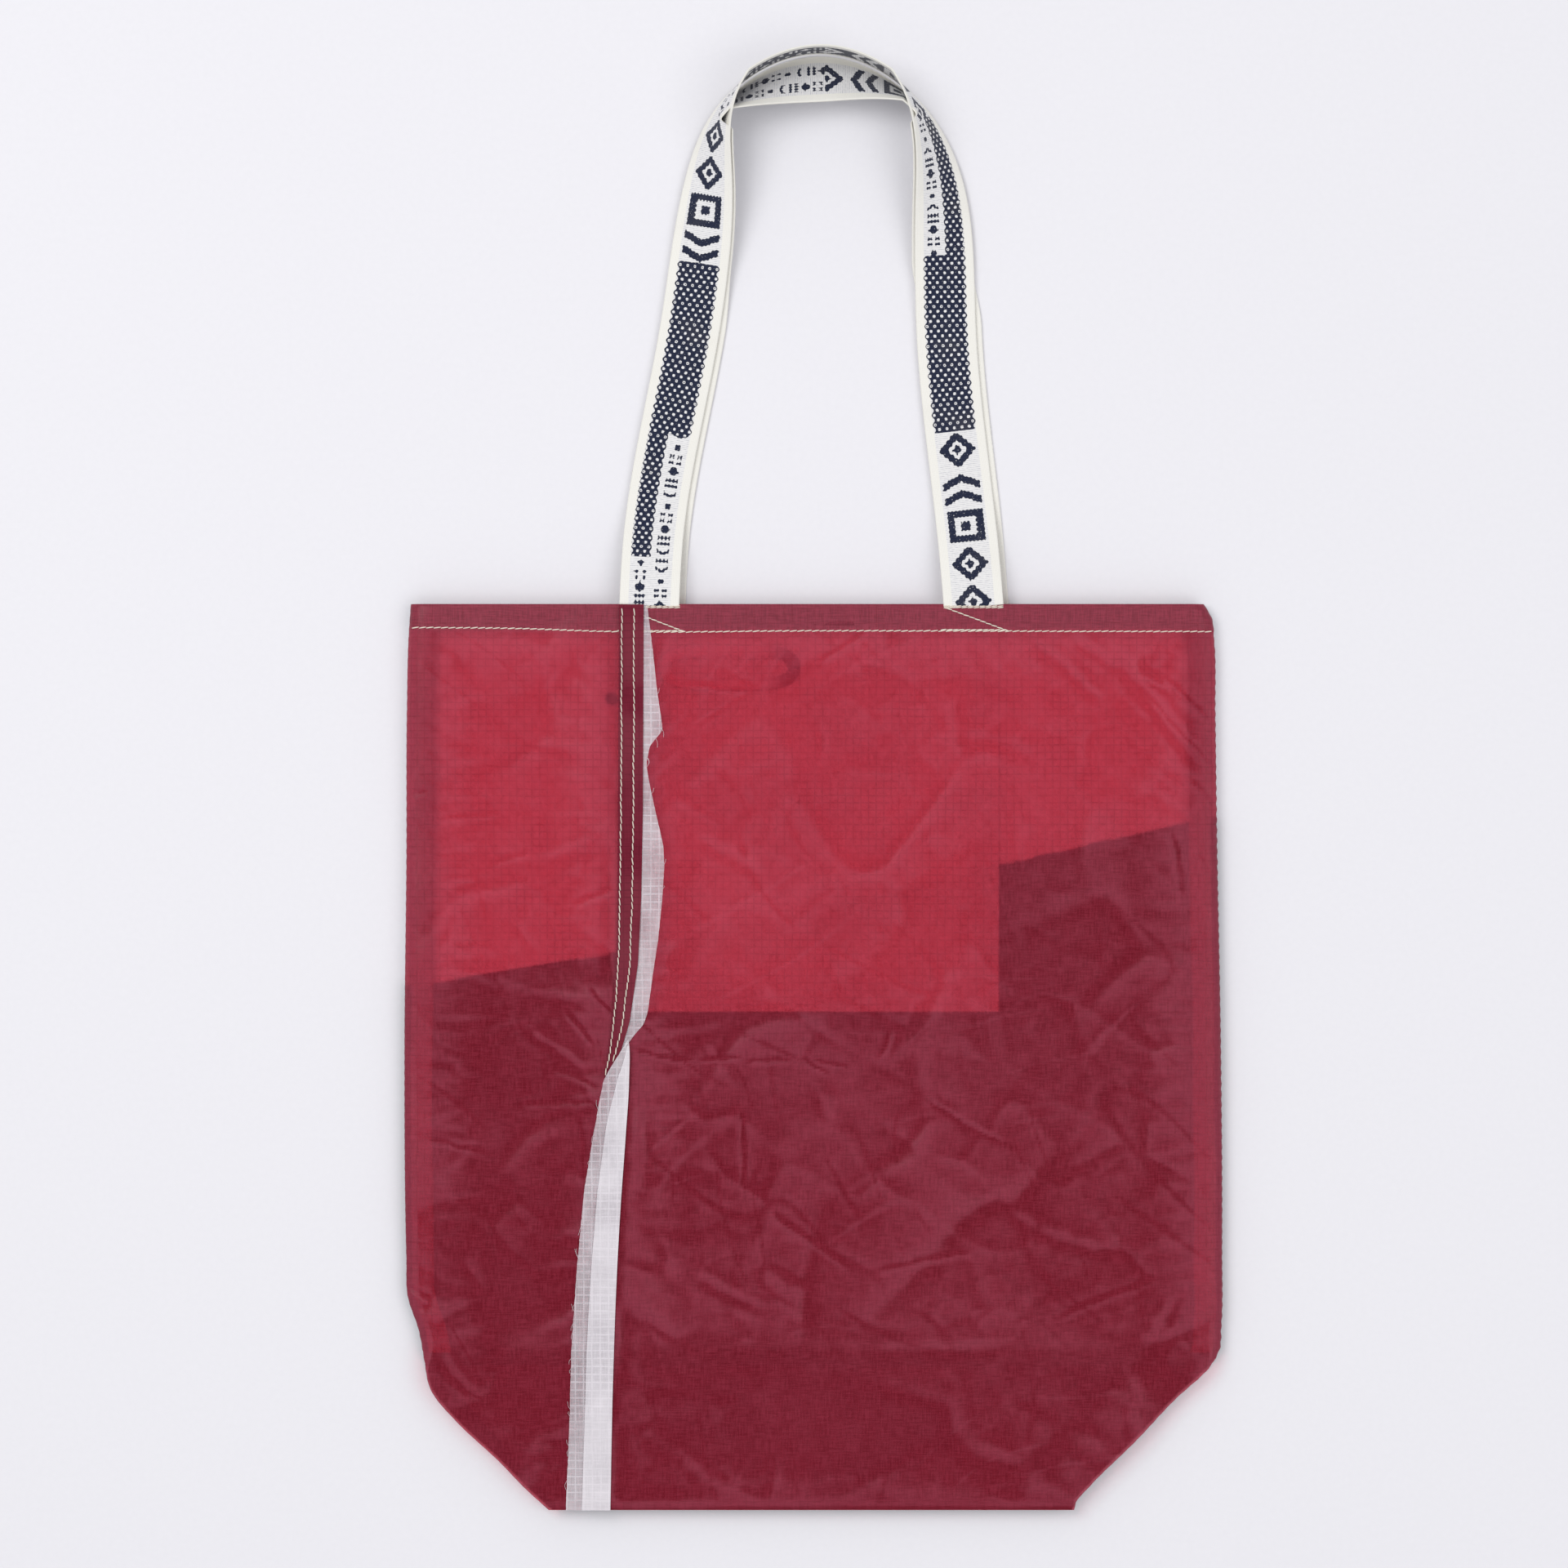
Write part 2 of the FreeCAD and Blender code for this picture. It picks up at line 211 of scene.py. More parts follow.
def crinkles(x, y, seed):
    """The finer facets and creases on top of relief()."""
    middle, _ = facets(x, y, 21 * MM, -34, 0.034, seed + 20)
    small, _ = facets(x, y, 9 * MM, 12, 0.022, seed + 30)
    ridge, valley = creases(x, y, 27 * MM, 42, seed + 60), creases(x, y, 25 * MM, -38, seed + 70)
    fine = 0.34 * ridge - 0.46 * valley
    ridge = creases(x, y, 16 * MM, 6, seed + 80, 7.0)
    valley = creases(x, y, 14 * MM, -72, seed + 90, 7.0)
    fine += 0.20 * ridge - 0.26 * valley
    fine += 0.07 * noise(x, y, 6 * MM, seed + 50) + 0.03 * noise(x, y, 2.6 * MM, seed + 51)
    fine = fine * MM + middle + small * smooth(0.3 + noise(x, y, 60 * MM, seed + 52))
    return fine * crumpled(x, y)


# ---- outlines of the body, as it lies ----
LEFT_EDGE = (
    (0, -132.0), (10, -143.0), (24, -156.6), (44, -178.0), (59, -190.5), (75, -194.5), (90, -197.5),
    (107, -203.0), (125, -203.6), (230, -204.6), (330, -203.6), (400, -203.4), (440, -202.4), (454, -201.4),
)
RIGHT_EDGE = (
    (0, 131.5), (4, 132.5), (11, 138.5), (35, 162.8), (55, 181.7), (73, 200.6), (79, 204.2),
    (92, 205.6), (130, 206.0), (230, 205.4), (340, 203.4), (400, 202.6), (436, 202.0),
    (448, 200.5), (454, 197.0),
)
SEAM = (
    (0, -101.0), (60, -99.8), (117, -97.8), (150, -96.0), (188, -93.3), (215, -91.6), (236, -91.8),
    (252, -95.4), (273, -97.6), (300, -97.6), (380, -96.8), (454, -96.4),
)
FRONT_FOLDS = (
    # long folds that fan out from the upper right corner, and their dark valleys
    (150, 436, 203, 366, 2.2, 3.2), (112, 438, 148, 404, 1.0, 2.6), (128, 440, 160, 420, 0.8, 2.4),
    (166, 421, 190, 404, -1.2, 1.1), (176, 419, 202, 394, -1.5, 1.0), (162, 416, 202, 372, -1.6, 1.1),
    (164, 420, 190, 406, 1.2, 1.6), (190, 367, 203, 355, -1.2, 1.0), (181, 342, 187, 306, -0.8, 1.6),
    (192, 330, 203, 318, -0.7, 1.2),
    # beside the closure loop and in the upper half
    (3, 424, 28, 441, -0.7, 1.4), (-66, 414, -26, 412, -0.6, 1.4), (-26, 412, -62, 390, -0.5, 1.2),
    (-189, 345, -155, 350, -0.6, 1.2), (-163, 323, -141, 330, -0.6, 1.2), (-121, 302, -97, 313, -0.7, 1.2),
    (-203, 358, -192, 360, -1.0, 1.1), (60, 395, 118, 380, 0.5, 3.0), (-60, 340, -20, 318, 0.5, 3.0),
    # by the end of the fin
    (-92, 231, -58, 226, -1.3, 1.0), (-58, 226, -34, 227, -1.4, 1.0), (-34, 225, -9, 225, -1.1, 0.9),
    (-6, 227, 9, 218, -1.2, 0.9), (0, 226, 20, 223, -0.6, 1.0), (-92, 236, -40, 244, 0.9, 2.4),
    (-113, 262, -100, 248, -1.2, 1.1), (-150, 204, -104, 206, -0.9, 1.1), (-124, 252, -108, 232, -1.1, 1.2),
    (-142, 240, -112, 220, 1.2, 2.2), (-130, 222, -106, 212, -1.0, 1.1), (-196, 186, -150, 176, -0.8, 1.3),
    # in the lower half
    (-34, 202, -33, 157, -1.2, 0.9), (-49, 180, -43, 170, -1.0, 0.9), (55, 208, 98, 183, 0.9, 1.2),
    (42, 241, 34, 224, 0.7, 1.2), (-22, 150, 22, 118, -0.9, 1.3), (96, 150, 150, 128, 0.9, 2.6),
    (30, 120, 84, 132, -0.7, 1.4), (120, 96, 176, 118, -0.7, 1.6), (-60, 120, -20, 100, 0.9, 2.4),
    (-203, 112, -190, 104, -1.6, 1.2), (-190, 104, -203, 98, -1.4, 1.2), (-166, 72, -120, 66, -1.1, 1.2),
    (-186, 80, -166, 56, 1.2, 2.4), (150, 60, 186, 112, 0.7, 3.0), (20, 80, 100, 84, 0.6, 3.0),
)


def side_edge(sign, y):
    height = (y - BASE_Y) / MM
    return spline(height, RIGHT_EDGE if sign > 0 else LEFT_EDGE) * MM


def seam_x(y):
    return spline((y - BASE_Y) / MM, SEAM) * MM


# ---- meshes ----
def grid_object(name, points, flat, lift=None):
    """A smooth-shaded grid of points (rows, columns, 3) with its flat pattern as UVs.

    lift is a tone at each point, read by the materials through the lift attribute: on the body cloth it
    goes from painted shade at 0 to painted sheen at 1, and above 1 where the cloth is doubled; elsewhere it
    is a random tone, or where a strap is doubled."""
    rows, columns = points.shape[:2]
    index = np.arange(rows * columns).reshape(rows, columns)
    quads = np.stack(
        [index[:-1, :-1], index[:-1, 1:], index[1:, 1:], index[1:, :-1]], axis=-1
    ).reshape(-1, 4)
    mesh = bpy.data.meshes.new(name)
    mesh.from_pydata(points.reshape(-1, 3).tolist(), [], quads.tolist())
    layer = mesh.uv_layers.new(name="flat")
    layer.data.foreach_set("uv", flat.reshape(-1, 2)[quads.reshape(-1)].astype(np.float32).ravel())
    if lift is None:
        lift = 0.5 + 0.5 * noise(points[..., 0], points[..., 1], 26 * MM, 900)
    lifted = mesh.attributes.new("lift", "FLOAT", "POINT")
    lifted.data.foreach_set("value", lift.astype(np.float32).ravel())
    mesh.polygons.foreach_set("use_smooth", np.ones(len(quads), bool))
    mesh.update()
    piece = bpy.data.objects.new(name, mesh)
    bpy.context.scene.collection.objects.link(piece)
    return piece


def between(grid, axis):
    """The grid with a point put between each two neighbours, on a smooth curve through them."""
    a = np.moveaxis(grid, axis, 0)
    padded = np.concatenate([2 * a[:1] - a[1:2], a, 2 * a[-1:] - a[-2:-1]])
    middle = (9 * (padded[1:-2] + padded[2:-1]) - padded[:-3] - padded[3:]) / 16
    out = np.empty((2 * len(a) - 1,) + a.shape[1:])
    out[0::2], out[1::2] = a, middle
    return np.moveaxis(out, 0, axis)


def finer(grid):
    return between(between(grid, 0), 1)


def softened(values, passes, own=0.0):
    """A grid averaged with its neighbours; own is each point's own weight beside their four."""
    for _ in range(passes):
        padded = np.pad(values, 1, mode="edge")
        around = padded[:-2, 1:-1] + padded[2:, 1:-1] + padded[1:-1, :-2] + padded[1:-1, 2:]
        values = (around + own * values) / (4 + own)
    return values


def painted_sheen_and_shade(x, y, height, seed):
    """Painted shade and sheen for a grid of heights: from 0, the deep colour, as painted shade in valleys,
    where cloth clings and towards the base fold, to 1, the sheen colour, as painted sheen on ridges and
    waves, with random patches by facet.

    Above 1, which body_cloth() adds, it says that the cloth is doubled."""
    local = (height - softened(height, 10)) / (0.13 * MM)
    broad = (softened(height, 6) - np.median(height)) / (1.5 * MM)
    _, large = facets(x, y, 46 * MM, 38, 0.06, seed + 10)
    _, middle = facets(x, y, 21 * MM, -34, 0.05, seed + 20)
    patches = (0.30 * (large - 0.5) + 0.14 * (middle - 0.5)) * crumpled(x, y)
    # painted shade: darker towards the base fold
    based = 0.26 * smooth((BASE_Y + GUSSET + 8 * MM - y) / (7 * MM) + 0.5)
    return np.clip(0.5 + patches - based + 0.28 * np.tanh(local) + 0.12 * np.tanh(broad), 0, 1)


def face_up(piece, wanted):
    """Turn the faces so that most normals point along wanted."""
    total = sum((f.normal * f.area for f in piece.data.polygons), Vector())
    if total.dot(Vector(wanted)) < 0:
        piece.data.flip_normals()


def crumple(points, pinned, growth, gravity):
    """Let cloth that is a little too long for its outline buckle between its pinned points."""
    piece = grid_object("crumpling", points, points[..., :2])
    group = piece.vertex_groups.new(name="held")
    for i, weight in enumerate(pinned.ravel()):
        if weight > 0:
            group.add([i], float(weight), "REPLACE")
    cloth = piece.modifiers.new("cloth", "CLOTH")
    settings = cloth.settings
    settings.quality = 6
    settings.mass = 0.05
    settings.tension_stiffness = 25
    settings.compression_stiffness = 25
    settings.shear_stiffness = 12
    settings.bending_stiffness = 0.02
    settings.vertex_group_mass = "held"
    settings.pin_stiffness = 1.0
    settings.shrink_min = -growth
    settings.effector_weights.gravity = gravity
    cloth.collision_settings.use_collision = False
    scene = bpy.context.scene
    for step in range(1, SIM_FRAMES + 1):
        scene.frame_set(step)
    evaluated = piece.evaluated_get(bpy.context.evaluated_depsgraph_get()).data
    after = np.empty(points.size, np.float32)
    evaluated.vertices.foreach_get("co", after)
    moved = after.reshape(points.shape).astype(float) - points
    scene.frame_set(1)
    mesh = piece.data
    bpy.data.objects.remove(piece)
    bpy.data.meshes.remove(mesh)
    length = np.linalg.norm(moved, axis=-1, keepdims=True)
    return points + moved * np.tanh(length / CAP) * CAP / np.maximum(length, 1e-9)


# ---- body cloth ----
def edge_roll(y):
    """How wide and how deep the cloth rolls down at its outer edge, at each height."""
    seam = smooth((y - BASE_Y - 0.92 * GUSSET) / (18 * MM))
    wide = FOLD_ROLL + (EDGE_ROLL - FOLD_ROLL) * seam
    deep = FOLD_ROLL + (MIDDLE_Z - SKIN / 2 - FOLD_ROLL) * seam
    return wide, deep


def body_cloth(name, sign, inner_x, low_y, high_y, is_front, seed, hemmed):
    """Cloth from an inner line to the side seam on one side of the bag.

    low_y and high_y give its lower and upper edge for each x."""
    facing = 1 if is_front else -1
    level = FRONT_Z if is_front else BACK_Z
    inner_top = inner_x(np.array([MOUTH_Y]))[0]
    reach = HALF_WIDTH - sign * inner_top
    columns = int(reach / CELL)
    rows = int((MOUTH_Y - BASE_Y) / CELL)
    across = np.linspace(0, 1, columns)[None, :]
    along = np.linspace(0, 1, rows)[:, None]
    rough_x = inner_top + sign * reach * across
    low, high = low_y(rough_x), high_y(rough_x)
    y = low + (high - low) * along
    inner = inner_x(y)
    wide, deep = edge_roll(y)
    x = inner + (side_edge(sign, y) - sign * wide - inner) * across
    # the roll at the outer edge
    steps = np.linspace(0, math.pi / 2, 7)[None, 1:]
    turned = np.ones((1, columns))
    turned = np.concatenate([turned, np.cos(steps)], axis=1)
    sink = np.concatenate([0 * x, -deep[:, -1:] * (1 - np.cos(steps))], axis=1)
    flat_x = np.concatenate([x, x[:, -1:] + sign * wide[:, -1:] * steps], axis=1)
    x = np.concatenate([x, x[:, -1:] + sign * wide[:, -1:] * np.sin(steps)], axis=1)
    y = np.concatenate([y, np.repeat(y[:, -1:], steps.size, axis=1)], axis=1)
    flat = np.stack([flat_x, y], axis=-1)
    height = relief(x, y, seed)
    if not is_front:
        height = np.abs(height) * 0.5
    height = height * calm(x, y, inner_x) * turned
    points = np.stack([x, y, level + facing * sink + height], axis=-1)
    if is_front:
        buckled = crumple(points, held_edges(points, 10 * MM), SIM_GROWTH, 0.15)
        free = 1 - held_edges(points, CALM_EDGE)
        points = points + (buckled - points) * free[..., None]
    points, flat, sink = finer(points), finer(flat), finer(sink)
    turned = between(turned, 1)
    x, y = points[..., 0], points[..., 1]
    fine = crinkles(x, y, seed)
    if is_front:
        fine = fine + folds(x, y, FRONT_FOLDS)
    else:
        fine = np.abs(fine) * 0.6 * smooth(np.abs(y - join_y(x)) / (10 * MM) - 0.5)
    points[..., 2] += fine * calm(x, y, inner_x) * turned
    dip = FOLD_ROLL * (1 - smooth((y - BASE_Y) / (2.2 * MM)))
    points[..., 2] -= facing * dip * turned
    pull = SCALLOP * (1.0 if sign > 0 else 0.4) * (0.6 + 0.4 * noise(y, 0 * y, 23 * MM, 8))
    points[..., 0] += sign * pull * (1 - turned) * np.sin(2 * math.pi * y / SCALLOP_PITCH)
    if is_front:
        floor = FRONT_Z - 1.5 * MM - 2.0 * MM * smooth((y - BASE_Y - GUSSET) / (30 * MM))
        floor = floor + finer_roll(turned, deep)
        points[..., 2] = soft_floor(points[..., 2], floor, 0.4 * MM)
    # the lift tone: painted shade in valleys and painted sheen on ridges, and above 1 where the cloth is
    # doubled
    lift = painted_sheen_and_shade(x, y, points[..., 2] - facing * sink, seed)
    # more painted sheen towards the front's side edges
    lift = lift + 0.25 * smooth((np.abs(x) - HALF_WIDTH + 15 * MM) / (6 * MM)) * is_front
    lift = np.maximum(lift, 1.34 * smooth((1 - turned) / 0.10))
    lift = np.maximum(lift, 2.0 * smooth((y - HEM_Y + 0.8 * MM) / (1.6 * MM)))
    if hemmed:
        inside = hem_rows(points, facing)
        points = np.concatenate([points, inside], axis=0)
        beyond = np.arange(1, len(inside) + 1)[:, None, None] * CELL
        flat = np.concatenate([flat, flat[-1:] + np.array([0.0, 1.0]) * beyond], axis=0)
        lift = np.concatenate([lift, np.repeat(lift[-1:], len(inside), axis=0)], axis=0)
    piece = grid_object(name, points, flat, lift)
    face_up(piece, (0, 0, facing))
    return piece


def finer_roll(turned, deep):
    """How far the lowest level of the cloth follows its roll at the outer edge."""
    return -(1 - turned) * between(deep[:, -1:], 0) * 1.1


def soft_floor(height, floor, band):
    """Heights kept above a floor, with a soft landing."""
    return floor + band * np.logaddexp(0, (height - floor) / band)


def calm(x, y, inner_x):
    """0 at the folds and seams, where the cloth is held, to 1 inside."""
    held = smooth((y - BASE_Y) / (10 * MM)) * smooth((MOUTH_Y - y) / (16 * MM) + 0.25)
    return held * smooth(np.abs(x - inner_x(y)) / (8 * MM) + 0.1)


def hem_rows(points, facing):
    """The hem, folded over at the mouth and back down on the inside."""
    last = points[-1]
    depth = np.clip(np.abs(last[:, 2] - MIDDLE_Z) / MIDDLE_Z, 0.15, 1.0) * HEM_FOLD * facing
    rows = [last + np.stack([0 * depth, 0 * depth + 0.25 * MM, -depth / 2], axis=-1)]
    count = int((MOUTH_Y - HEM_Y) / CELL)
    for step in range(count + 1):
        rows.append(last + np.stack([0 * depth, 0 * depth - step * CELL, -depth], axis=-1))
    for step in range(count, 0, -1):
        rows.append(last + np.stack([0 * depth, 0 * depth - step * CELL, -depth * 0.55], axis=-1))
    return np.array(rows)


def held_edges(points, edge_width):
    """1 at the outline, seam and hem, 0 inside, for crumple()."""
    x, y = points[..., 0], points[..., 1]
    right = side_edge(1, y) - EDGE_ROLL * 0.7 - x
    left = x - side_edge(-1, y) - EDGE_ROLL * 0.7
    seam = np.abs(x - seam_x(y))
    away = np.minimum.reduce([np.abs(right), np.abs(left), seam, y - BASE_Y, HEM_Y + 2 * MM - y])
    held = 1 - smooth((away - 2 * MM) / edge_width)
    held[(right < 0) | (left < 0) | (y > HEM_Y)] = 1
    return held


def sheet_size(piece):
    """The flat size of a cloth piece and its flat area, from its pattern."""
    mesh = piece.data
    uv = np.empty(len(mesh.loops) * 2, np.float32)
    mesh.uv_layers["flat"].data.foreach_get("uv", uv)
    uv = uv.reshape(-1, 2)
    quads = np.array([p.vertices[:] for p in mesh.polygons])
    corner = uv.reshape(len(quads), 4, 2)
    first, second = corner[:, 2] - corner[:, 0], corner[:, 3] - corner[:, 1]
    area = float(np.abs(first[:, 0] * second[:, 1] - first[:, 1] * second[:, 0]).sum() / 2)
    size = uv.max(0) - uv.min(0)
    return (float(size[0]), float(size[1])), min(area, float(size[0] * size[1]))


def declare_sheet(piece):
    flat, area = sheet_size(piece)


def dress(piece, material, slot, *nodes):
    """Gives a piece its material and hides the CAD nodes that it stands for. slot is not used."""
    piece.data.materials.append(MATERIALS[material])
    if nodes:
        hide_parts(*nodes)


def all_low(x):
    return np.full_like(x, BASE_Y)


def all_high(x):
    return np.full_like(x, MOUTH_Y)


def crease_blend(piece):
    """Bakes a cloth's place into its mesh."""
    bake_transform(piece)


def make_front():
    right = body_cloth("front_cloth_right", 1, seam_x, all_low, all_high, True, 100, True)
    left = body_cloth("front_cloth_left", -1, seam_x, all_low, all_high, True, 200, True)
    dress(right, "red", "red_ripstop", "front_panel_right", "front_side_right", "front_hem")
    dress(left, "red", "red_ripstop", "front_panel_left", "front_side_left")
    for piece, sign, body in ((right, 1, "front_side_right"), (left, -1, "front_side_left")):
        declare_sheet(piece)
        crease_blend(piece)
    return right, left


# ---- back ----
JOIN_HEIGHT = 301.6
JOIN_SLOPE = 0.2227
JOIN_LAP = 0.8 * MM
JOIN_STEP = 0.6 * MM            # the upper piece lies this much higher than the lower one


def join_y(x):
    """The join's height at x; it is less steep at the left."""
    return up(JOIN_HEIGHT) + JOIN_SLOPE * x - 0.066 * np.minimum(x + 90 * MM, 0)


def middle_x(y):
    return np.zeros_like(y)


def upper_low(x):
    """The upper piece's lower edge: it laps over the lower piece."""
    return join_y(x) - JOIN_LAP


def make_back():
    for sign, word in ((1, "right"), (-1, "left")):
        upper = body_cloth(
            "back_upper_cloth_" + word, sign, middle_x, upper_low, all_high, False, 300, True
        )
        lower = body_cloth(
            "back_lower_cloth_" + word, sign, middle_x, all_low, join_y, False, 300, False
        )
        shift_z(upper, JOIN_STEP)
        dress(upper, "white_back", "white_ripstop", "back_side_%s_upper" % word)
        dress(lower, "dark", "dark_ripstop", "back_side_%s_lower" % word)
        for piece in (upper, lower):
            declare_sheet(piece)
            crease_blend(piece)
        if sign > 0:
            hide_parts("back_panel_upper", "back_hem")
            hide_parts("back_panel_lower")


def shift_z(piece, amount):
    piece.data.transform(((1, 0, 0, 0), (0, 1, 0, 0), (0, 0, 1, amount), (0, 0, 0, 1)))


# ---- base and corners ----
BASE_LOW = BACK_Z + 1.2 * MM    # levels of the tucked base's two halves
BASE_HIGH = FRONT_Z - 2.3 * MM
TUCK_TRIM = (5 * MM, 1 * MM)    # how far a tuck stays off the side seam and the base's inner crease


def patch(name, corner_a, corner_b, corner_c, corner_d, level, seed, strength=0.35):
    """A four-sided crumpled patch; a and b are its lower corners, d and c its upper ones."""
    a, b, c, d = (np.array(p, float) for p in (corner_a, corner_b, corner_c, corner_d))
    wide = max(np.linalg.norm(b - a), np.linalg.norm(c - d))
    high = max(np.linalg.norm(d - a), np.linalg.norm(c - b))
    u = np.linspace(0, 1, max(int(wide / (2 * CELL)), 3))[None, :, None]
    v = np.linspace(0, 1, max(int(high / (2 * CELL)), 3))[:, None, None]
    spots = (a * (1 - u) + b * u) * (1 - v) + (d * (1 - u) + c * u) * v
    x, y = spots[..., 0], spots[..., 1]
    z = level + relief(x, y, seed, strength) * 0.3
    return grid_object(name, np.stack([x, y, z], axis=-1), np.stack([x, y], axis=-1))


def make_base():
    """One cloth from the back's base fold up to the inner crease and down to the front's."""
    low, top = BASE_LOW, BASE_HIGH
    bend = (top - low) / 2
    run = GUSSET - bend
    length = 2 * run + math.pi * bend
    rows = int(length / CELL)
    s = np.linspace(0, length, rows)[:, None]
    x = np.linspace(-CREASE_X, CREASE_X, int(2 * CREASE_X / CELL))[None, :]
    turn = np.clip((s - run) / bend, 0, math.pi)
    returning = np.where(s > run + math.pi * bend, length - s, run + bend * np.sin(turn))
    y = np.where(s < run, s, returning)
    z = low + bend * (1 - np.cos(turn))
    lift = relief(x + 0 * s, BASE_Y + s + 0 * x, 500, 0.28)
    z = z + lift * np.cos(turn) * smooth(y / (12 * MM))
    points = np.stack([x + 0 * s, BASE_Y + y + 0 * x, z], axis=-1)
    piece = grid_object("base_cloth", points, np.stack([x + 0 * s, s + 0 * x], axis=-1))
    dress(piece, "dark", "dark_ripstop", "base_back", "base_front")
    declare_sheet(piece)
    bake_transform(piece)


def make_tucks():
    for word, sign in (("left", -1), ("right", 1)):
        for layer, level in (("back", BASE_LOW), ("front", BASE_HIGH)):
            inner = sign * CREASE_X
            low = (inner, BASE_Y + 4 * MM)
            end_y = BASE_Y + GUSSET - TUCK_TRIM[1]
            seam_end = (side_edge(sign, np.array([end_y]))[0] - sign * TUCK_TRIM[0], end_y)
            corner = (inner, BASE_Y + GUSSET)
            middle = ((low[0] + seam_end[0]) / 2, (low[1] + seam_end[1]) / 2)
            name = "%s_tuck_cloth_%s" % (layer, word)
            piece = patch(name, low, middle, seam_end, corner, level, 620 + sign)
            face_up(piece, (0, 0, 1 if layer == "front" else -1))
            body = "%s_tuck_%s" % (layer, word)
            dress(piece, "dark", "dark_ripstop", body)
            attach(piece, body)
            declare_sheet(piece)


# ---- inside ----
SEAM_INSETS = (14.0 * MM, 3.4 * MM)   # of the seam allowance's two edges from the side


def make_side_seams():
    """The seam allowances inside the side seams."""
    for word, sign in (("left", -1), ("right", 1)):
        y = np.linspace(SEAM_LEFT[0][1] + 4 * MM, MOUTH_Y - 2 * MM, 180)[:, None]
        inset = np.linspace(*SEAM_INSETS, 7)[None, :]
        x = side_edge(sign, y) - sign * inset + 0.5 * MM * noise(y, inset, 17 * MM, 41)
        z = MIDDLE_Z - 0.4 * MM + 0.5 * MM * noise(x, y, 30 * MM, 42) * inset / (12 * MM)
        points = np.stack([x, y + 0 * x, z + 0 * x], axis=-1)
        flat = np.stack([inset + 0 * y, y + 0 * x], axis=-1)
        piece = grid_object("side_seam_cloth_" + word, points, flat)
        face_up(piece, (0, 0, 1))
        dress(piece, "red_dense", "red_ripstop", "side_seam_" + word)
        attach(piece, "back_side_" + word)
        declare_sheet(piece)


def make_pocket():
    left, bottom = POCKET[0][0], POCKET[0][1]
    right, top = POCKET_HEM[1][0], POCKET_HEM[1][1]
    level = POCKET[1][2] + 0.9 * MM
    hem_low, hem_level = POCKET_HEM[0][1], level - 0.5 * MM
    upper = (right, top), (left, top)
    panel = patch("pocket_cloth", (left, bottom), (right, bottom), *upper, level, 740, 0.5)
    hem = patch("pocket_hem_cloth", (left, hem_low), (right, hem_low), *upper, hem_level, 740)
    for piece, node in ((panel, "inner_pocket"), (hem, "pocket_hem")):
        dress(piece, "pocket", "white_ripstop", node)
        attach(piece, "back")
        declare_sheet(piece)


def make_loop():
    """The closure loop, a flat strap that lies as a long loop with crossed ends."""
    x0, y0, z0 = LOOP[0]
    x1, y1, _ = LOOP[1]
    centre_y, half_high = (y0 + y1) / 2, (y1 - y0) / 2 - 3 * MM
    strap = 6 * MM
    turn = np.linspace(0, 2 * math.pi, 120)
    half_long = (x1 - x0) / 2 - 3 * MM
    centre_x = (x0 + x1) / 2
    cos, sin = np.cos(turn), np.sin(turn)
    px = centre_x + half_long * np.sign(cos) * np.abs(cos) ** 0.5
    py = centre_y + half_high * np.sign(sin) * np.abs(sin) ** 0.8
    dx, dy = np.gradient(px), np.gradient(py)
    size = np.hypot(dx, dy)
    nx, ny = -dy / size, dx / size
    w = np.linspace(-0.5, 0.5, 6)[None, :] * strap
    z = z0 + 0.4 * MM + 0.25 * MM * np.sin(3 * turn)[:, None]
    x, y = px[:, None] + nx[:, None] * w, py[:, None] + ny[:, None] * w
    points = np.stack([x, y, z + 0 * w], axis=-1)
    along = np.cumsum(size)[:, None]
    flat = np.stack([w + 0 * along, along + 0 * w], axis=-1)
    doubled = smooth((px - centre_x) / half_long * 1.8 - 0.8)[:, None] + 0 * w
    piece = grid_object("closure_loop_strap", points, flat, doubled)
    thicken(piece, 0.8 * MM)
    dress(piece, "strap", "dark_strap", "closure_loop")
    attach(piece, "back")


def make_button():
    """A small button with a raised rim, turned from a profile."""
    x = (BUTTON[0][0] + BUTTON[1][0]) / 2
    y = (BUTTON[0][1] + BUTTON[1][1]) / 2
    radius = (BUTTON[1][0] - BUTTON[0][0]) / 2
    z0, high = BUTTON[0][2], BUTTON[1][2] - BUTTON[0][2]
    profile = (
        (0.0, 0.62), (0.55, 0.62), (0.66, 0.72), (0.80, 1.0), (0.92, 0.98),
        (1.0, 0.75), (1.0, 0.35), (0.9, 0.12), (0.5, 0.0), (0.0, 0.0),
    )
    turn = np.linspace(0, 2 * math.pi, 49)[None, :]
    r = np.array([p[0] for p in profile])[:, None] * radius
    h = np.array([p[1] for p in profile])[:, None] * high
    points = np.stack([x + r * np.cos(turn), y + r * np.sin(turn), z0 + h + 0 * turn], axis=-1)
    flat = np.stack([r + 0 * turn, turn * radius + 0 * r], axis=-1)
    piece = grid_object("closure_button_disc", points, flat)
    dress(piece, "button", "dark_plastic", "closure_button")
    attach(piece, "back")


def thicken(piece, thickness):
    solid = piece.modifiers.new("thickness", "SOLIDIFY")
    solid.thickness = thickness
    solid.offset = 0
    apply_modifiers(piece)


def apply_modifiers(piece):
    depsgraph = bpy.context.evaluated_depsgraph_get()
    mesh = bpy.data.meshes.new_from_object(piece.evaluated_get(depsgraph))
    piece.modifiers.clear()
    piece.data = mesh


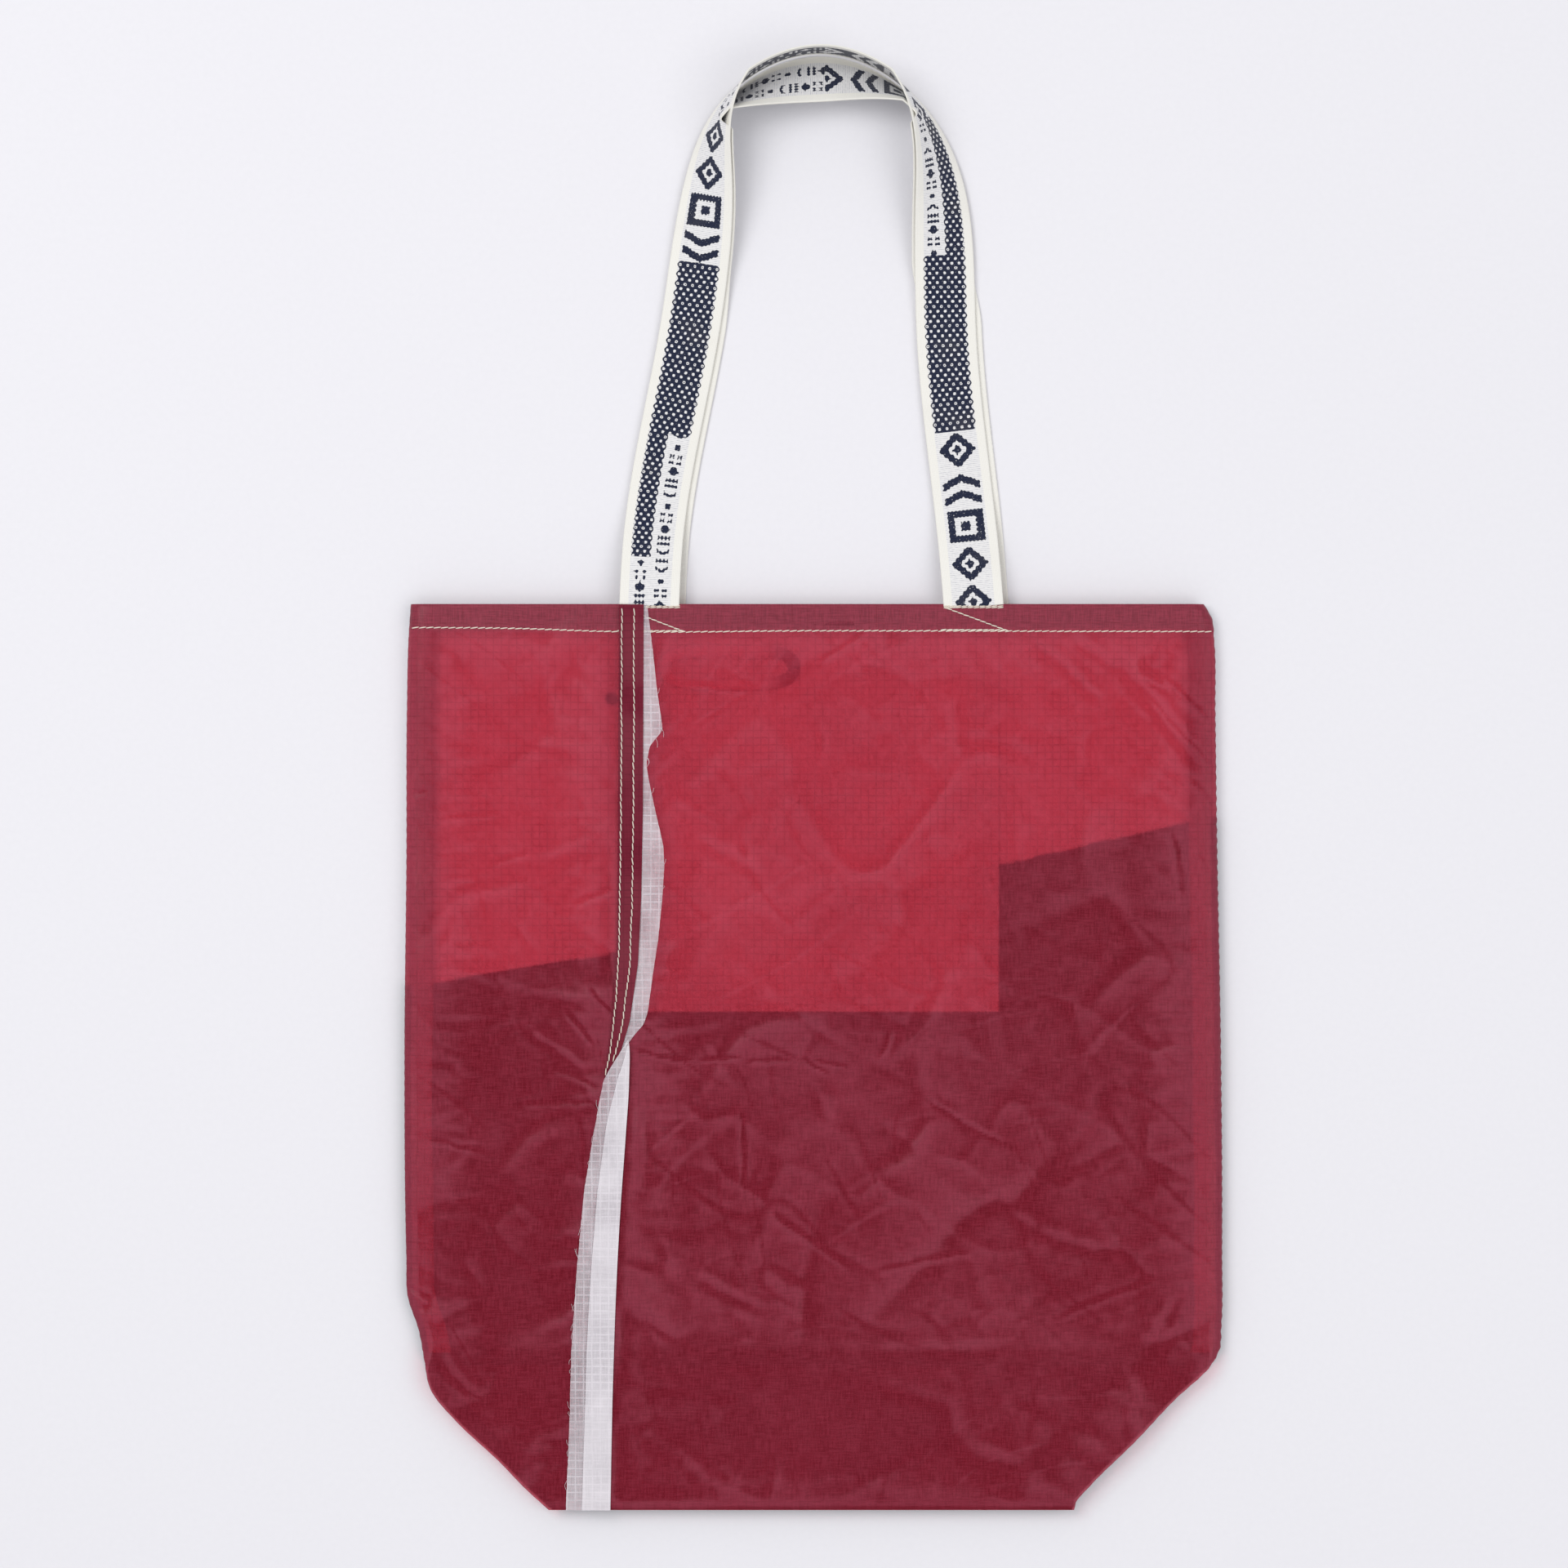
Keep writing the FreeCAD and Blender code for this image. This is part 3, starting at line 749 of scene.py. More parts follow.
# ---- the fin of the front seam ----
# outlines as (height above the base fold, x), in millimetres
BAND_LEFT = (
    (217, -103.9), (224, -102.6), (245, -100.2), (274, -98.2), (306, -97.5), (360, -97.1),
    (454, -96.6),
)
BAND_RIGHT = (
    (217, -102.7), (228, -96.4), (238, -93.3), (245, -91.3), (274, -87.1), (307, -85.5),
    (348, -84.7), (454, -84.3),
)
UPPER_RIGHT = (
    (217, -103.2), (229, -96.0), (236, -90.6), (239, -88.4), (243, -84.7), (249, -82.4),
    (266, -80.1), (286, -77.1), (307, -75.0), (323, -74.0), (333, -74.5), (348, -77.9),
    (364, -81.4), (374, -83.0), (383, -81.3), (390, -75.6), (392, -74.8), (409, -77.4),
    (430, -79.6), (454, -82.6),
)
LOWER_LEFT = (
    (0, -123.4), (40, -121.7), (80, -120.6), (117, -118.2), (160, -114.2), (188, -109.6), (205, -106.4),
    (216, -104.2), (219, -102.6), (236.5, -91.9),
)
FIN_LIFT = 0.7 * MM
BAND_LIFT = FIN_LIFT + 0.45 * MM
CORNER = 1.1                    # rounding of the outlines' corners, in millimetres


def outline(height, knots):
    """A raw edge: straight runs with slightly rounded corners."""
    xs, ys = [k[0] for k in knots], [k[1] for k in knots]
    return sum(np.interp(height + step, xs, ys) for step in (-CORNER, 0, CORNER)) / 3 * MM


def ground_under(pieces):
    """A function that gives the highest cloth under (x, y)."""
    trees = []
    for piece in pieces:
        places = [v.co for v in piece.data.vertices]
        trees.append(BVHTree.FromPolygons(places, [p.vertices for p in piece.data.polygons]))

    def ground(x, y):
        xs, ys = np.broadcast_arrays(x, y)
        out = np.full(xs.shape, FRONT_Z)
        for i, (px, py) in enumerate(zip(xs.ravel(), ys.ravel())):
            best = None
            for tree in trees:
                hit = tree.ray_cast(Vector((px, py, 0.1)), Vector((0, 0, -1)))[0]
                if hit is not None and (best is None or hit.z > best):
                    best = hit.z
            if best is not None:
                out.ravel()[i] = max(best, MIDDLE_Z)
        return out

    return ground


def ribbon(name, heights, left, right, columns, level, ground, seed):
    """A flat strip between two outlines that lies on the cloth, level above it."""
    rows = int((heights[1] - heights[0]) / 1.2)
    height = np.linspace(heights[0], heights[1], rows)[:, None]
    share = np.linspace(0, 1, columns)[None, :]
    low, high = left(height), right(height)
    x = low + (high - low) * share
    y = up(height) + 0 * share
    z = softened(ground(x, y), 8, own=2.0) + level(height, share)
    waves = 0.22 * MM * noise(x, y, 13 * MM, seed) + 0.10 * MM * noise(x, y, 5 * MM, seed + 1)
    z = z + waves * (0.3 + 0.7 * np.abs(2 * share - 1))
    lift = 0.5 + 0.5 * noise(x, y, 16 * MM, seed + 2)
    return grid_object(name, np.stack([x, y, z], axis=-1), np.stack([x, y], axis=-1), lift)


def frayed(x, height, amount=0.22):
    """A cut edge that wavers by single threads."""
    y = height * MM
    return x + amount * MM * noise(y, 0 * y, 1.5 * MM, 77)


def turned_level(height, share):
    """The turned-under part of the lower strip lies on the strip's inner part."""
    return lower_level(height, 1 + 0 * share) + 0.35 * MM


def band_level(height, share):
    return BAND_LIFT + 0 * share + 0 * height


def band_left(height):
    return outline(height, BAND_LEFT)


def band_right(height):
    return outline(height, BAND_RIGHT)


def under_band(height):
    return band_left(height) + 1 * MM


def upper_right(height):
    return frayed(outline(height, UPPER_RIGHT), height, 0.12)


def lower_left(height):
    return frayed(outline(height, LOWER_LEFT), height)


def root(height):
    """The seam line that both strips come out of."""
    return seam_x(up(height))


def fold_left(height):
    """How far the turned-under part of the lower strip reaches from its root."""
    whole = root(height) - outline(height, LOWER_LEFT)
    return root(height) - whole * (0.64 - 0.24 * smooth((height - 190) / 40))


def upper_level(height, share):
    """The upper strip lies flat, under the band."""
    return FIN_LIFT + 0 * share + 0 * height


def lower_level(height, share):
    """The lower strip crosses over the upper one's end; its free edge curls up a little below that."""
    crossing = smooth((height - 205) / 14)
    curl = np.exp(-(((height - 205) / 18) ** 2)) * smooth(1 - share / 0.3)
    return FIN_LIFT + 1.1 * MM * crossing + 1.6 * MM * curl


def make_fin(ground):
    """The band over the two strips; heights are above the base fold, in millimetres."""
    upper = ribbon(
        "rib_strip_upper_cloth", (216, 454), under_band, upper_right, 20, upper_level, ground, 811
    )
    lower = ribbon(
        "rib_strip_lower_cloth", (0, 236), lower_left, root, 22, lower_level, ground, 821
    )
    folded = ribbon(
        "rib_strip_fold_cloth", (0, 233), fold_left, root, 14, turned_level, ground, 821
    )
    band = ribbon(
        "seam_band_cloth", (217, 454), band_left, band_right, 12, band_level, ground, 831
    )
    dress(upper, "rib", "white_ripstop", "rib_strip_upper")
    dress(lower, "rib", "white_ripstop", "rib_strip_lower")
    dress(folded, "rib_doubled", "white_ripstop")
    dress(band, "band", "red_ripstop", "seam_allowance")
    for piece in (upper, lower, folded, band):
        face_up(piece, (0, 0, 1))
        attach(piece, "front")
        declare_sheet(piece)
    make_loose_threads(ground)


def make_loose_threads(ground):
    """Fine threads that have come loose from the raw edges."""
    draw = random.Random(12)
    curve = bpy.data.curves.new("loose_threads", "CURVE")
    curve.dimensions = "3D"
    curve.bevel_depth = 0.07 * MM
    curve.bevel_resolution = 1
    for knots, count, way in ((LOWER_LEFT, 17, -1), (UPPER_RIGHT, 9, 1)):
        low, high = (4, 205) if way < 0 else (240, 440)
        for _ in range(count):
            height = draw.uniform(low, high)
            x = float(outline(np.array(height), knots)) - way * 0.5 * MM
            y = up(height)
            length = draw.uniform(2.5, 8.0) * MM
            lean = draw.choice((-1, 1)) * draw.uniform(0.6, 1.0)
            z = float(ground(np.array([x]), np.array([y]))[0]) + FIN_LIFT + 0.2 * MM
            strand = curve.splines.new("NURBS")
            strand.points.add(3)
            for i, point in enumerate(strand.points):
                t = i / 3
                drift = 0.25 * t * length * draw.uniform(0.2, 1)
                aside = way * (0.9 * MM * math.sin(math.pi * 0.8 * t) + drift)
                point.co = (x + aside, y + lean * length * t, z - 0.3 * MM * t, 1)
            strand.order_u = 3
            strand.use_endpoint_u = True
    mesh_from = bpy.data.objects.new("loose_threads_curve", curve)
    bpy.context.scene.collection.objects.link(mesh_from)
    mesh = bpy.data.meshes.new_from_object(mesh_from.evaluated_get(bpy.context.evaluated_depsgraph_get()))
    bpy.data.objects.remove(mesh_from)
    mesh.materials.clear()
    mesh.materials.append(MATERIALS["fibre"])
    piece = bpy.data.objects.new("rib_strip_loose_threads", mesh)
    bpy.context.scene.collection.objects.link(piece)
    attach(piece, "front")


# ---- thread ----
def capsule(start, end, normal, radius, rings=5, sides=6):
    """Points and faces of one stitch that dips into the cloth at both ends."""
    start, end = Vector(start), Vector(end)
    run = end - start
    ahead = run.normalized()
    out = Vector(normal)
    aside = ahead.cross(out).normalized()
    points, faces = [], []
    for ring in range(rings):
        t = ring / (rings - 1)
        swell = math.sin(math.pi * (0.12 + 0.76 * t))
        centre = start + run * t + out * radius * (1.1 * swell - 0.5)
        for side in range(sides):
            angle = 2 * math.pi * side / sides
            spoke = aside * math.cos(angle) + out * math.sin(angle)
            points.append(centre + spoke * radius * (0.55 + 0.45 * swell))
    for ring in range(rings - 1):
        for side in range(sides):
            a, b = ring * sides + side, ring * sides + (side + 1) % sides
            faces.append((a, b, b + sides, a + sides))
    faces.append(tuple(range(sides))[::-1])
    faces.append(tuple(range((rings - 1) * sides, rings * sides)))
    return points, faces


def stitches(name, lines, material, pitch=3.7 * MM, fill=0.97, radius=0.31 * MM, slant=0.26 * MM):
    """Rows of lockstitch along lines of points; each stitch leans a little across its row."""
    points, faces = [], []
    draw = random.Random(name)
    for line in lines:
        line = np.array(line)
        steps = np.linalg.norm(np.diff(line, axis=0), axis=1)
        along = np.concatenate([[0], np.cumsum(steps)])
        count = max(round(along[-1] / pitch), 1)
        for i in range(count):
            ends = []
            for share, lean in ((0, -1), (fill, 1)):
                place = (i + share) * along[-1] / count
                spot = np.array([np.interp(place, along, line[:, k]) for k in range(3)])
                ahead = np.array([np.interp(place + 0.5 * MM, along, line[:, k]) for k in range(3)]) - spot
                ahead /= max(np.linalg.norm(ahead), 1e-9)
                aside = np.array([-ahead[1], ahead[0], 0])
                ends.append(spot + aside * (lean * slant + draw.uniform(-0.06, 0.06) * MM))
            more, sides = capsule(ends[0], ends[1], (0, 0, 1), radius * draw.uniform(0.92, 1.08))
            base = len(points)
            points += more
            faces += [tuple(base + v for v in face) for face in sides]
    mesh = bpy.data.meshes.new(name)
    mesh.from_pydata([tuple(p) for p in points], [], faces)
    mesh.polygons.foreach_set("use_smooth", np.ones(len(faces), bool))
    mesh.materials.append(material)
    piece = bpy.data.objects.new(name, mesh)
    bpy.context.scene.collection.objects.link(piece)
    return piece


def draped(xs, ys, ground, lift):
    """A line of points on the cloth."""
    z = ground(xs, ys)
    kernel = np.ones(7) / 7
    z = np.convolve(np.pad(z, 3, mode="edge"), kernel, mode="valid")
    return np.stack([xs, ys, z + lift], axis=-1)


STITCH_ROWS = (0.12, 0.62)      # as shares of the band's width
HANDLE_PITCH = 2.9 * MM         # of the stitches that hold the handles
HANDLE_CENTRE = 81.0            # millimetres from the middle of the mouth
TAPE_HALF = 15.0


def make_seam_stitches(ground):
    lines = []
    for row, lowest in zip(STITCH_ROWS, (218, 225)):
        heights = np.linspace(452, lowest, 300)
        left, right = outline(heights, BAND_LEFT), outline(heights, BAND_RIGHT)
        x = left + (right - left) * row + 0.30 * MM * noise(heights, heights * 0, 9.0, 33 + lowest)
        lines.append(draped(x, up(heights), ground, BAND_LIFT + 0.25 * MM))
    piece = stitches("seam_stitch_rows", lines, MATERIALS["thread"])
    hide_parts("seam_stitches")
    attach(piece, "front")


def hem_line_y(x):
    """The hem's stitching, a little lower towards the right."""
    drop = spline(x / MM, ((-203, 11.6), (-150, 12.0), (-100, 13.6), (0, 13.2), (100, 13.4), (203, 13.6)))
    return MOUTH_Y - drop * MM


def make_hem_stitches(ground):
    inner, outer = CREASE_X - 4 * MM, HALF_WIDTH - 3 * MM
    parts = (
        ("front_hem_stitch_row", "front", -inner, inner),
        ("hem_stitches_left", "front_side_left", -outer, -inner),
        ("hem_stitches_right", "front_side_right", inner, outer),
    )
    for name, body, low, high in parts:
        xs = np.linspace(low, high, int((high - low) / MM))
        line = draped(xs, hem_line_y(xs), ground, 0.12 * MM)
        piece = stitches(name, [line], MATERIALS["thread"])
        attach(piece, body)
        if body == "front":
            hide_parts("front_hem_stitches")


def tape_sides():
    """Left and right side of the tape at each end of a handle."""
    return [((c - TAPE_HALF) * MM, (c + TAPE_HALF) * MM) for c in (-HANDLE_CENTRE, HANDLE_CENTRE)]


def make_handle_stitches(ground):
    lines = []
    for left, right in tape_sides():
        top = MOUTH_Y - 0.9 * MM
        xs = np.linspace(left, right, 40)
        lines.append(draped(xs, np.full_like(xs, top), ground, 0.2 * MM))
        lines.append(draped(xs, np.full_like(xs, top - 0.7 * MM), ground, 0.2 * MM))
        slope_x = np.linspace(left + 1.5 * MM, right + 2.4 * MM, 44)
        share = np.linspace(0, 1, 44)
        start_y = top - 1 * MM
        slope_y = start_y + (hem_line_y(slope_x) - start_y) * share
        lines.append(draped(slope_x, slope_y, ground, 0.2 * MM))
        xs = np.linspace(left - 1.5 * MM, right + 1.5 * MM, 40)
        lines.append(draped(xs, hem_line_y(xs) + 0.6 * MM, ground, 0.25 * MM))
    piece = stitches(
        "front_handle_z_stitches", lines, MATERIALS["thread"],
        pitch=HANDLE_PITCH, slant=0.15 * MM,
    )
    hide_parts("front_handle_stitches")
    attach(piece, "front")


# ---- handles ----
HANDLE_ROUTE = (
    (-96.5, 0.0), (-94.5, 36.0), (-76.5, 140.0), (-64.0, 212.0), (-47.5, 250.5), (4.0, 278.0),
    (57.0, 250.0), (76.0, 212.0), (82.5, 140.0), (93.0, 36.0), (96.0, 0.0),
)
TAPE_WIDTH = 2 * TAPE_HALF * MM
TAPE_THICKNESS = 1.2 * MM
TILT_START = 140 * MM           # the tape turns from lying flat to standing on its edge between
TILT_END = 265 * MM             # these heights above the mouth
TILT_POWER = 1.8
# inner edge of the back handle's top: x and height, in millimetres
INNER_EDGE = ((-45, 333.0), (-38, 334.3), (2, 338.6), (48, 337.4), (55, 336.0))
BACK_SHIFT = 3 * MM             # the back handle lies this far aside of the front one, below
BACK_SHIFT_TOP = 1.5 * MM       # and above
NEST_SHARE = 0.28
DROP_RUN = 60 * MM              # the front handle comes down from the hem to the floor over this
HANDLE_LENGTH = 0.66            # more than any handle's length, to set the number of its rows
DOT_PITCH = 3.78 * MM           # of the woven dots, across the tape
DOT_ROW = 2.41 * MM             # and along it
WEAVE = 0.75 * MM


def natural_curve(knots, count):
    """A smooth curve through the knots, sampled evenly along its length."""
    knots = np.array(knots)
    chord = np.concatenate([[0], np.cumsum(np.linalg.norm(np.diff(knots, axis=0), axis=1))])
    n = len(knots)
    h = np.diff(chord)
    matrix, right = np.eye(n), np.zeros((n, 2))
    for i in range(1, n - 1):
        matrix[i, i - 1: i + 2] = h[i - 1], 2 * (h[i - 1] + h[i]), h[i]
        right[i] = 6 * ((knots[i + 1] - knots[i]) / h[i] - (knots[i] - knots[i - 1]) / h[i - 1])
    second = np.linalg.solve(matrix, right)
    t = np.linspace(0, chord[-1], 4000)
    i = np.clip(np.searchsorted(chord, t) - 1, 0, n - 2)
    a, b = (chord[i + 1] - t)[:, None], (t - chord[i])[:, None]
    hi = h[i][:, None]
    curve = (
        second[i] * a**3 / (6 * hi) + second[i + 1] * b**3 / (6 * hi)
        + (knots[i] / hi - second[i] * hi / 6) * a + (knots[i + 1] / hi - second[i + 1] * hi / 6) * b
    )
    along = np.concatenate([[0], np.cumsum(np.linalg.norm(np.diff(curve, axis=0), axis=1))])
    even = np.linspace(0, along[-1], count)
    return np.stack([np.interp(even, along, curve[:, k]) for k in range(2)], axis=-1), even


def handle_shape(is_front):
    """Start points, width ways and face ways of a handle along its length."""
    route, along = natural_curve(np.array(HANDLE_ROUTE) * MM, int(HANDLE_LENGTH / WEAVE))
    scale = (HANDLE_BOX[1][1] - MOUTH_Y - TAPE_THICKNESS) / route[:, 1].max()
    route[:, 1] *= scale
    step = np.gradient(route, axis=0)
    step /= np.linalg.norm(step, axis=1, keepdims=True)
    across = np.stack([step[:, 1], -step[:, 0], 0 * step[:, 0]], axis=-1)
    share = np.clip((route[:, 1] - TILT_START) / (TILT_END - TILT_START), 0, 1)
    tilt = 90 * share**TILT_POWER
    start = np.stack([route[:, 0], route[:, 1] + MOUTH_Y, 0 * route[:, 0]], axis=-1)
    if is_front:
        lying = TAPE_THICKNESS + 0.4 * MM
        falling = 1 - smooth(route[:, 1] / DROP_RUN)
        start[:, 2] = lying + (TOP_Z - TAPE_THICKNESS - lying) * falling
    else:
        nested = smooth(share / NEST_SHARE)
        start[:, 0] += BACK_SHIFT * (1 - nested)
        start += across * (BACK_SHIFT_TOP * nested)[:, None]
    flat_way = across * np.cos(np.radians(tilt))[:, None]
    if not is_front:
        # over the top the back handle leans in, so that its face shows down to its inner edge
        edge = spline(start[:, 0] / MM, INNER_EDGE) * MM
        drop = np.clip((start[:, 1] - edge) / TAPE_WIDTH, 0.30, 0.985)
        top = smooth((start[:, 1] - edge + 3 * MM) / (9 * MM))[:, None]
        flat_way = flat_way * (1 - top) + np.array([[0, -1.0, 0]]) * drop[:, None] * top
    rise = np.sqrt(np.maximum(1 - (flat_way**2).sum(axis=1), 0))
    width_way = flat_way + np.array([[0, 0, 1.0]]) * rise[:, None]
    face_way = np.cross(width_way, step_3d(step))
    face_way /= np.linalg.norm(face_way, axis=1, keepdims=True)
    return start, width_way, face_way, along


def step_3d(step):
    return np.concatenate([step, 0 * step[:, :1]], axis=1)


# The woven pattern, as how far inside the navy figures a point is, in millimetres: u runs across
# the tape from its outer edge and v along it.
TAPE_CELLS = 40
PATTERN_HALF = 10.2
MIDDLE = TAPE_HALF
FIGURE_PITCH = 19.5
FIGURE_MIDDLE = 8.6
TICK_PITCH = 6.2
LEFT_ZONES = (25, 90, 177, 258, 320)     # where the pattern changes, from the tape's left end
RIGHT_ZONES = (90, 178, 252)             # and from its right end


def ring(distance, radius, stroke):
    """Inside the outline of a shape whose own distance is given."""
    return stroke / 2 - np.abs(distance - radius)


def figures(u, v):
    """Large lozenges, squares and chevrons in a thick line, with solid hearts."""
    d = np.abs(u - MIDDLE)
    part = np.floor(v / FIGURE_PITCH).astype(int) % 4
    k = np.mod(v, FIGURE_PITCH) - FIGURE_MIDDLE
    lozenge = (d + np.abs(k)) * 0.75
    square = np.maximum(d * 0.92, np.abs(k))
    shapes = (
        np.maximum(ring(lozenge, 5.4, 3.4), 1.9 - lozenge),
        np.maximum(1.9 - np.abs(k + 5.2 - 0.45 * d), 1.9 - np.abs(k - 2.6 - 0.45 * d)),
        np.maximum(ring(square, 6.6, 3.4), 2.2 - square),
        np.maximum(ring(lozenge, 5.4, 3.4), 1.9 - lozenge),
    )
    inside = np.choose(part, shapes)
    return np.minimum(inside, np.minimum(9.4 - d, FIGURE_MIDDLE - np.abs(k)))


def ticks(u, v, middle):
    """A narrow column of short bars, small lozenges and dots."""
    d = np.abs(u - middle)
    part = np.floor(v / TICK_PITCH).astype(int) % 5
    k = np.mod(v, TICK_PITCH) - TICK_PITCH / 2
    bars = np.minimum(3.1 - d, 0.75 - np.abs(np.abs(k) - 1.5))
    shapes = (
        bars,
        (2.9 - d - np.abs(k)) * 0.75,
        np.minimum(bars, d - 0.9),
        1.5 - np.hypot(d, k),
        np.minimum(3.1 - d, 0.8 - np.abs(k - 0.5 * d + 0.8)),
    )
    return np.choose(part, shapes)


def block(u, low, high):
    """Inside a dotted block from low to high across the tape."""
    return np.minimum(u - low, high - u)


def tape_pattern(u, v, length):
    """How far inside the navy each point is, and where it is a dotted block."""
    left, right = MIDDLE - PATTERN_HALF, MIDDLE + PATTERN_HALF
    far = length - v
    whole, half = block(u, left, right), block(u, left, MIDDLE - 0.6)
    two_columns = np.maximum(ticks(u, v, 9.8), ticks(u, v + 9.3, 20.2))
    beside = ticks(u, v, 20.4)
    large, half_dotted = figures(u, v), np.maximum(half, beside)
    zones = (
        (v < LEFT_ZONES[0], two_columns, 0), (v < LEFT_ZONES[1], half_dotted, half > -0.3),
        (v < LEFT_ZONES[2], whole, 1), (v < LEFT_ZONES[3], large, 0),
        (far < RIGHT_ZONES[0], large, 0), (far < RIGHT_ZONES[1], whole, 1),
        (far < RIGHT_ZONES[2], half_dotted, half > -0.3), (v < LEFT_ZONES[4], two_columns, 0),
    )
    inside, dotted = large, np.zeros_like(u)
    for where, value, dots in reversed(zones):
        inside = np.where(where, value, inside)
        dotted = np.where(where, dots, dotted)
    return np.clip(inside, -1.5, 1.5), dotted


def tape_object(name, start, width_way, face_way, along):
    """A woven tape with a slightly crowned face, its pattern stored cell by cell."""
    rows = len(start)
    columns = TAPE_CELLS + 1
    u = np.linspace(0, 1, columns)
    crown = 1 - 0.35 * np.abs(2 * u - 1) ** 6
    ribs = 0.05 * MM * np.sin(np.arange(rows) * math.pi)[:, None]
    upper = (
        start[:, None] + width_way[:, None] * (u * TAPE_WIDTH)[None, :, None]
        + face_way[:, None] * (TAPE_THICKNESS * (0.5 + 0.5 * crown[None, :]) + ribs)[..., None]
    )
    lower = (
        start[:, None] + width_way[:, None] * (u[::-1] * TAPE_WIDTH)[None, :, None]
        + face_way[:, None] * (TAPE_THICKNESS * 0.5 * (1 - crown[::-1][None, :]))[..., None]
    )
    ring = np.concatenate([upper, lower], axis=1)
    count = ring.shape[1]
    index = np.arange(rows * count).reshape(rows, count)
    following = np.roll(index, -1, axis=1)
    quads = np.stack([index[:-1], following[:-1], following[1:], index[1:]], axis=-1)
    across = np.concatenate([u, u[::-1]]) * TAPE_WIDTH
    flat = np.stack(np.broadcast_arrays(across[None, :], along[:, None]), axis=-1)
    inside, dotted = tape_pattern(flat[..., 0] / MM, flat[..., 1] / MM, along[-1] / MM)
    back_face = np.arange(count) >= columns
    within = PATTERN_HALF - np.abs(flat[..., 0] / MM - MIDDLE)
    inside = np.where(back_face[None, :], np.minimum(-inside, within), inside)
    mesh = bpy.data.meshes.new(name)
    faces = quads.reshape(-1, 4).tolist()
    faces.append(index[0].tolist()[::-1])
    faces.append(index[-1].tolist())
    mesh.from_pydata(ring.reshape(-1, 3).tolist(), [], faces)
    vertex_uv = flat.reshape(-1, 2).astype(np.float32)
    loops = np.empty(len(mesh.loops), np.int32)
    mesh.loops.foreach_get("vertex_index", loops)
    layer = mesh.uv_layers.new(name="flat")
    layer.data.foreach_set("uv", vertex_uv[loops].ravel())
    for layer_name, values in (("weave", inside), ("dotted", dotted)):
        layer = mesh.attributes.new(layer_name, "FLOAT", "POINT")
        layer.data.foreach_set("value", values.astype(np.float32).ravel())
    mesh.polygons.foreach_set("use_smooth", np.ones(len(faces), bool))
    mesh.materials.append(MATERIALS["tape"])
    mesh.update()
    piece = bpy.data.objects.new(name, mesh)
    bpy.context.scene.collection.objects.link(piece)
    return piece


def make_handles():
    for word, body, is_front in (("front", "front", True), ("back", "back", False)):
        start, width_way, face_way, along = handle_shape(is_front)
        piece = tape_object(word + "_handle_tape", start, width_way, face_way, along)
        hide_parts(word + "_handle")
        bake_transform(piece)
        make_tape_ends(word, body)


def make_tape_ends(word, body):
    """The sewn-in ends of a handle, under the hem."""
    low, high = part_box(word + "_handle_ends")
    for sign in (-1, 1):
        rows = int((MOUTH_Y - low[1]) / WEAVE)
        y = np.linspace(MOUTH_Y, low[1], rows)
        centre = sign * (high[0] - TAPE_WIDTH / 2)
        start = np.stack([np.full(rows, centre - TAPE_WIDTH / 2), y, np.full(rows, low[2])], axis=-1)
        width_way = np.tile([1.0, 0, 0], (rows, 1))
        face_way = np.tile([0, 0, 1.0], (rows, 1))
        name = "%s_tape_end_%d" % (word, sign + 2)
        piece = tape_object(name, start, width_way, face_way, MOUTH_Y - y)
        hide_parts(word + "_handle_ends")
        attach(piece, body)


def make_back_stitches():
    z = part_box("back_handle_stitches")[0][2]
    lines = []
    for left, right in tape_sides():
        top, low = MOUTH_Y - 1.5 * MM, HEM_Y + 1.5 * MM
        for y_left, y_right in ((top, top), (top, low), (low, low)):
            xs, ys = np.linspace(left, right, 30), np.linspace(y_left, y_right, 30)
            lines.append(np.stack([xs, ys, np.full(30, z)], axis=-1))
    piece = stitches(
        "back_handle_z_stitches", lines, MATERIALS["thread"], pitch=HANDLE_PITCH
    )
    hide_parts("back_handle_stitches")
    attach(piece, "back")


# ---- materials ----
MATERIALS = {}


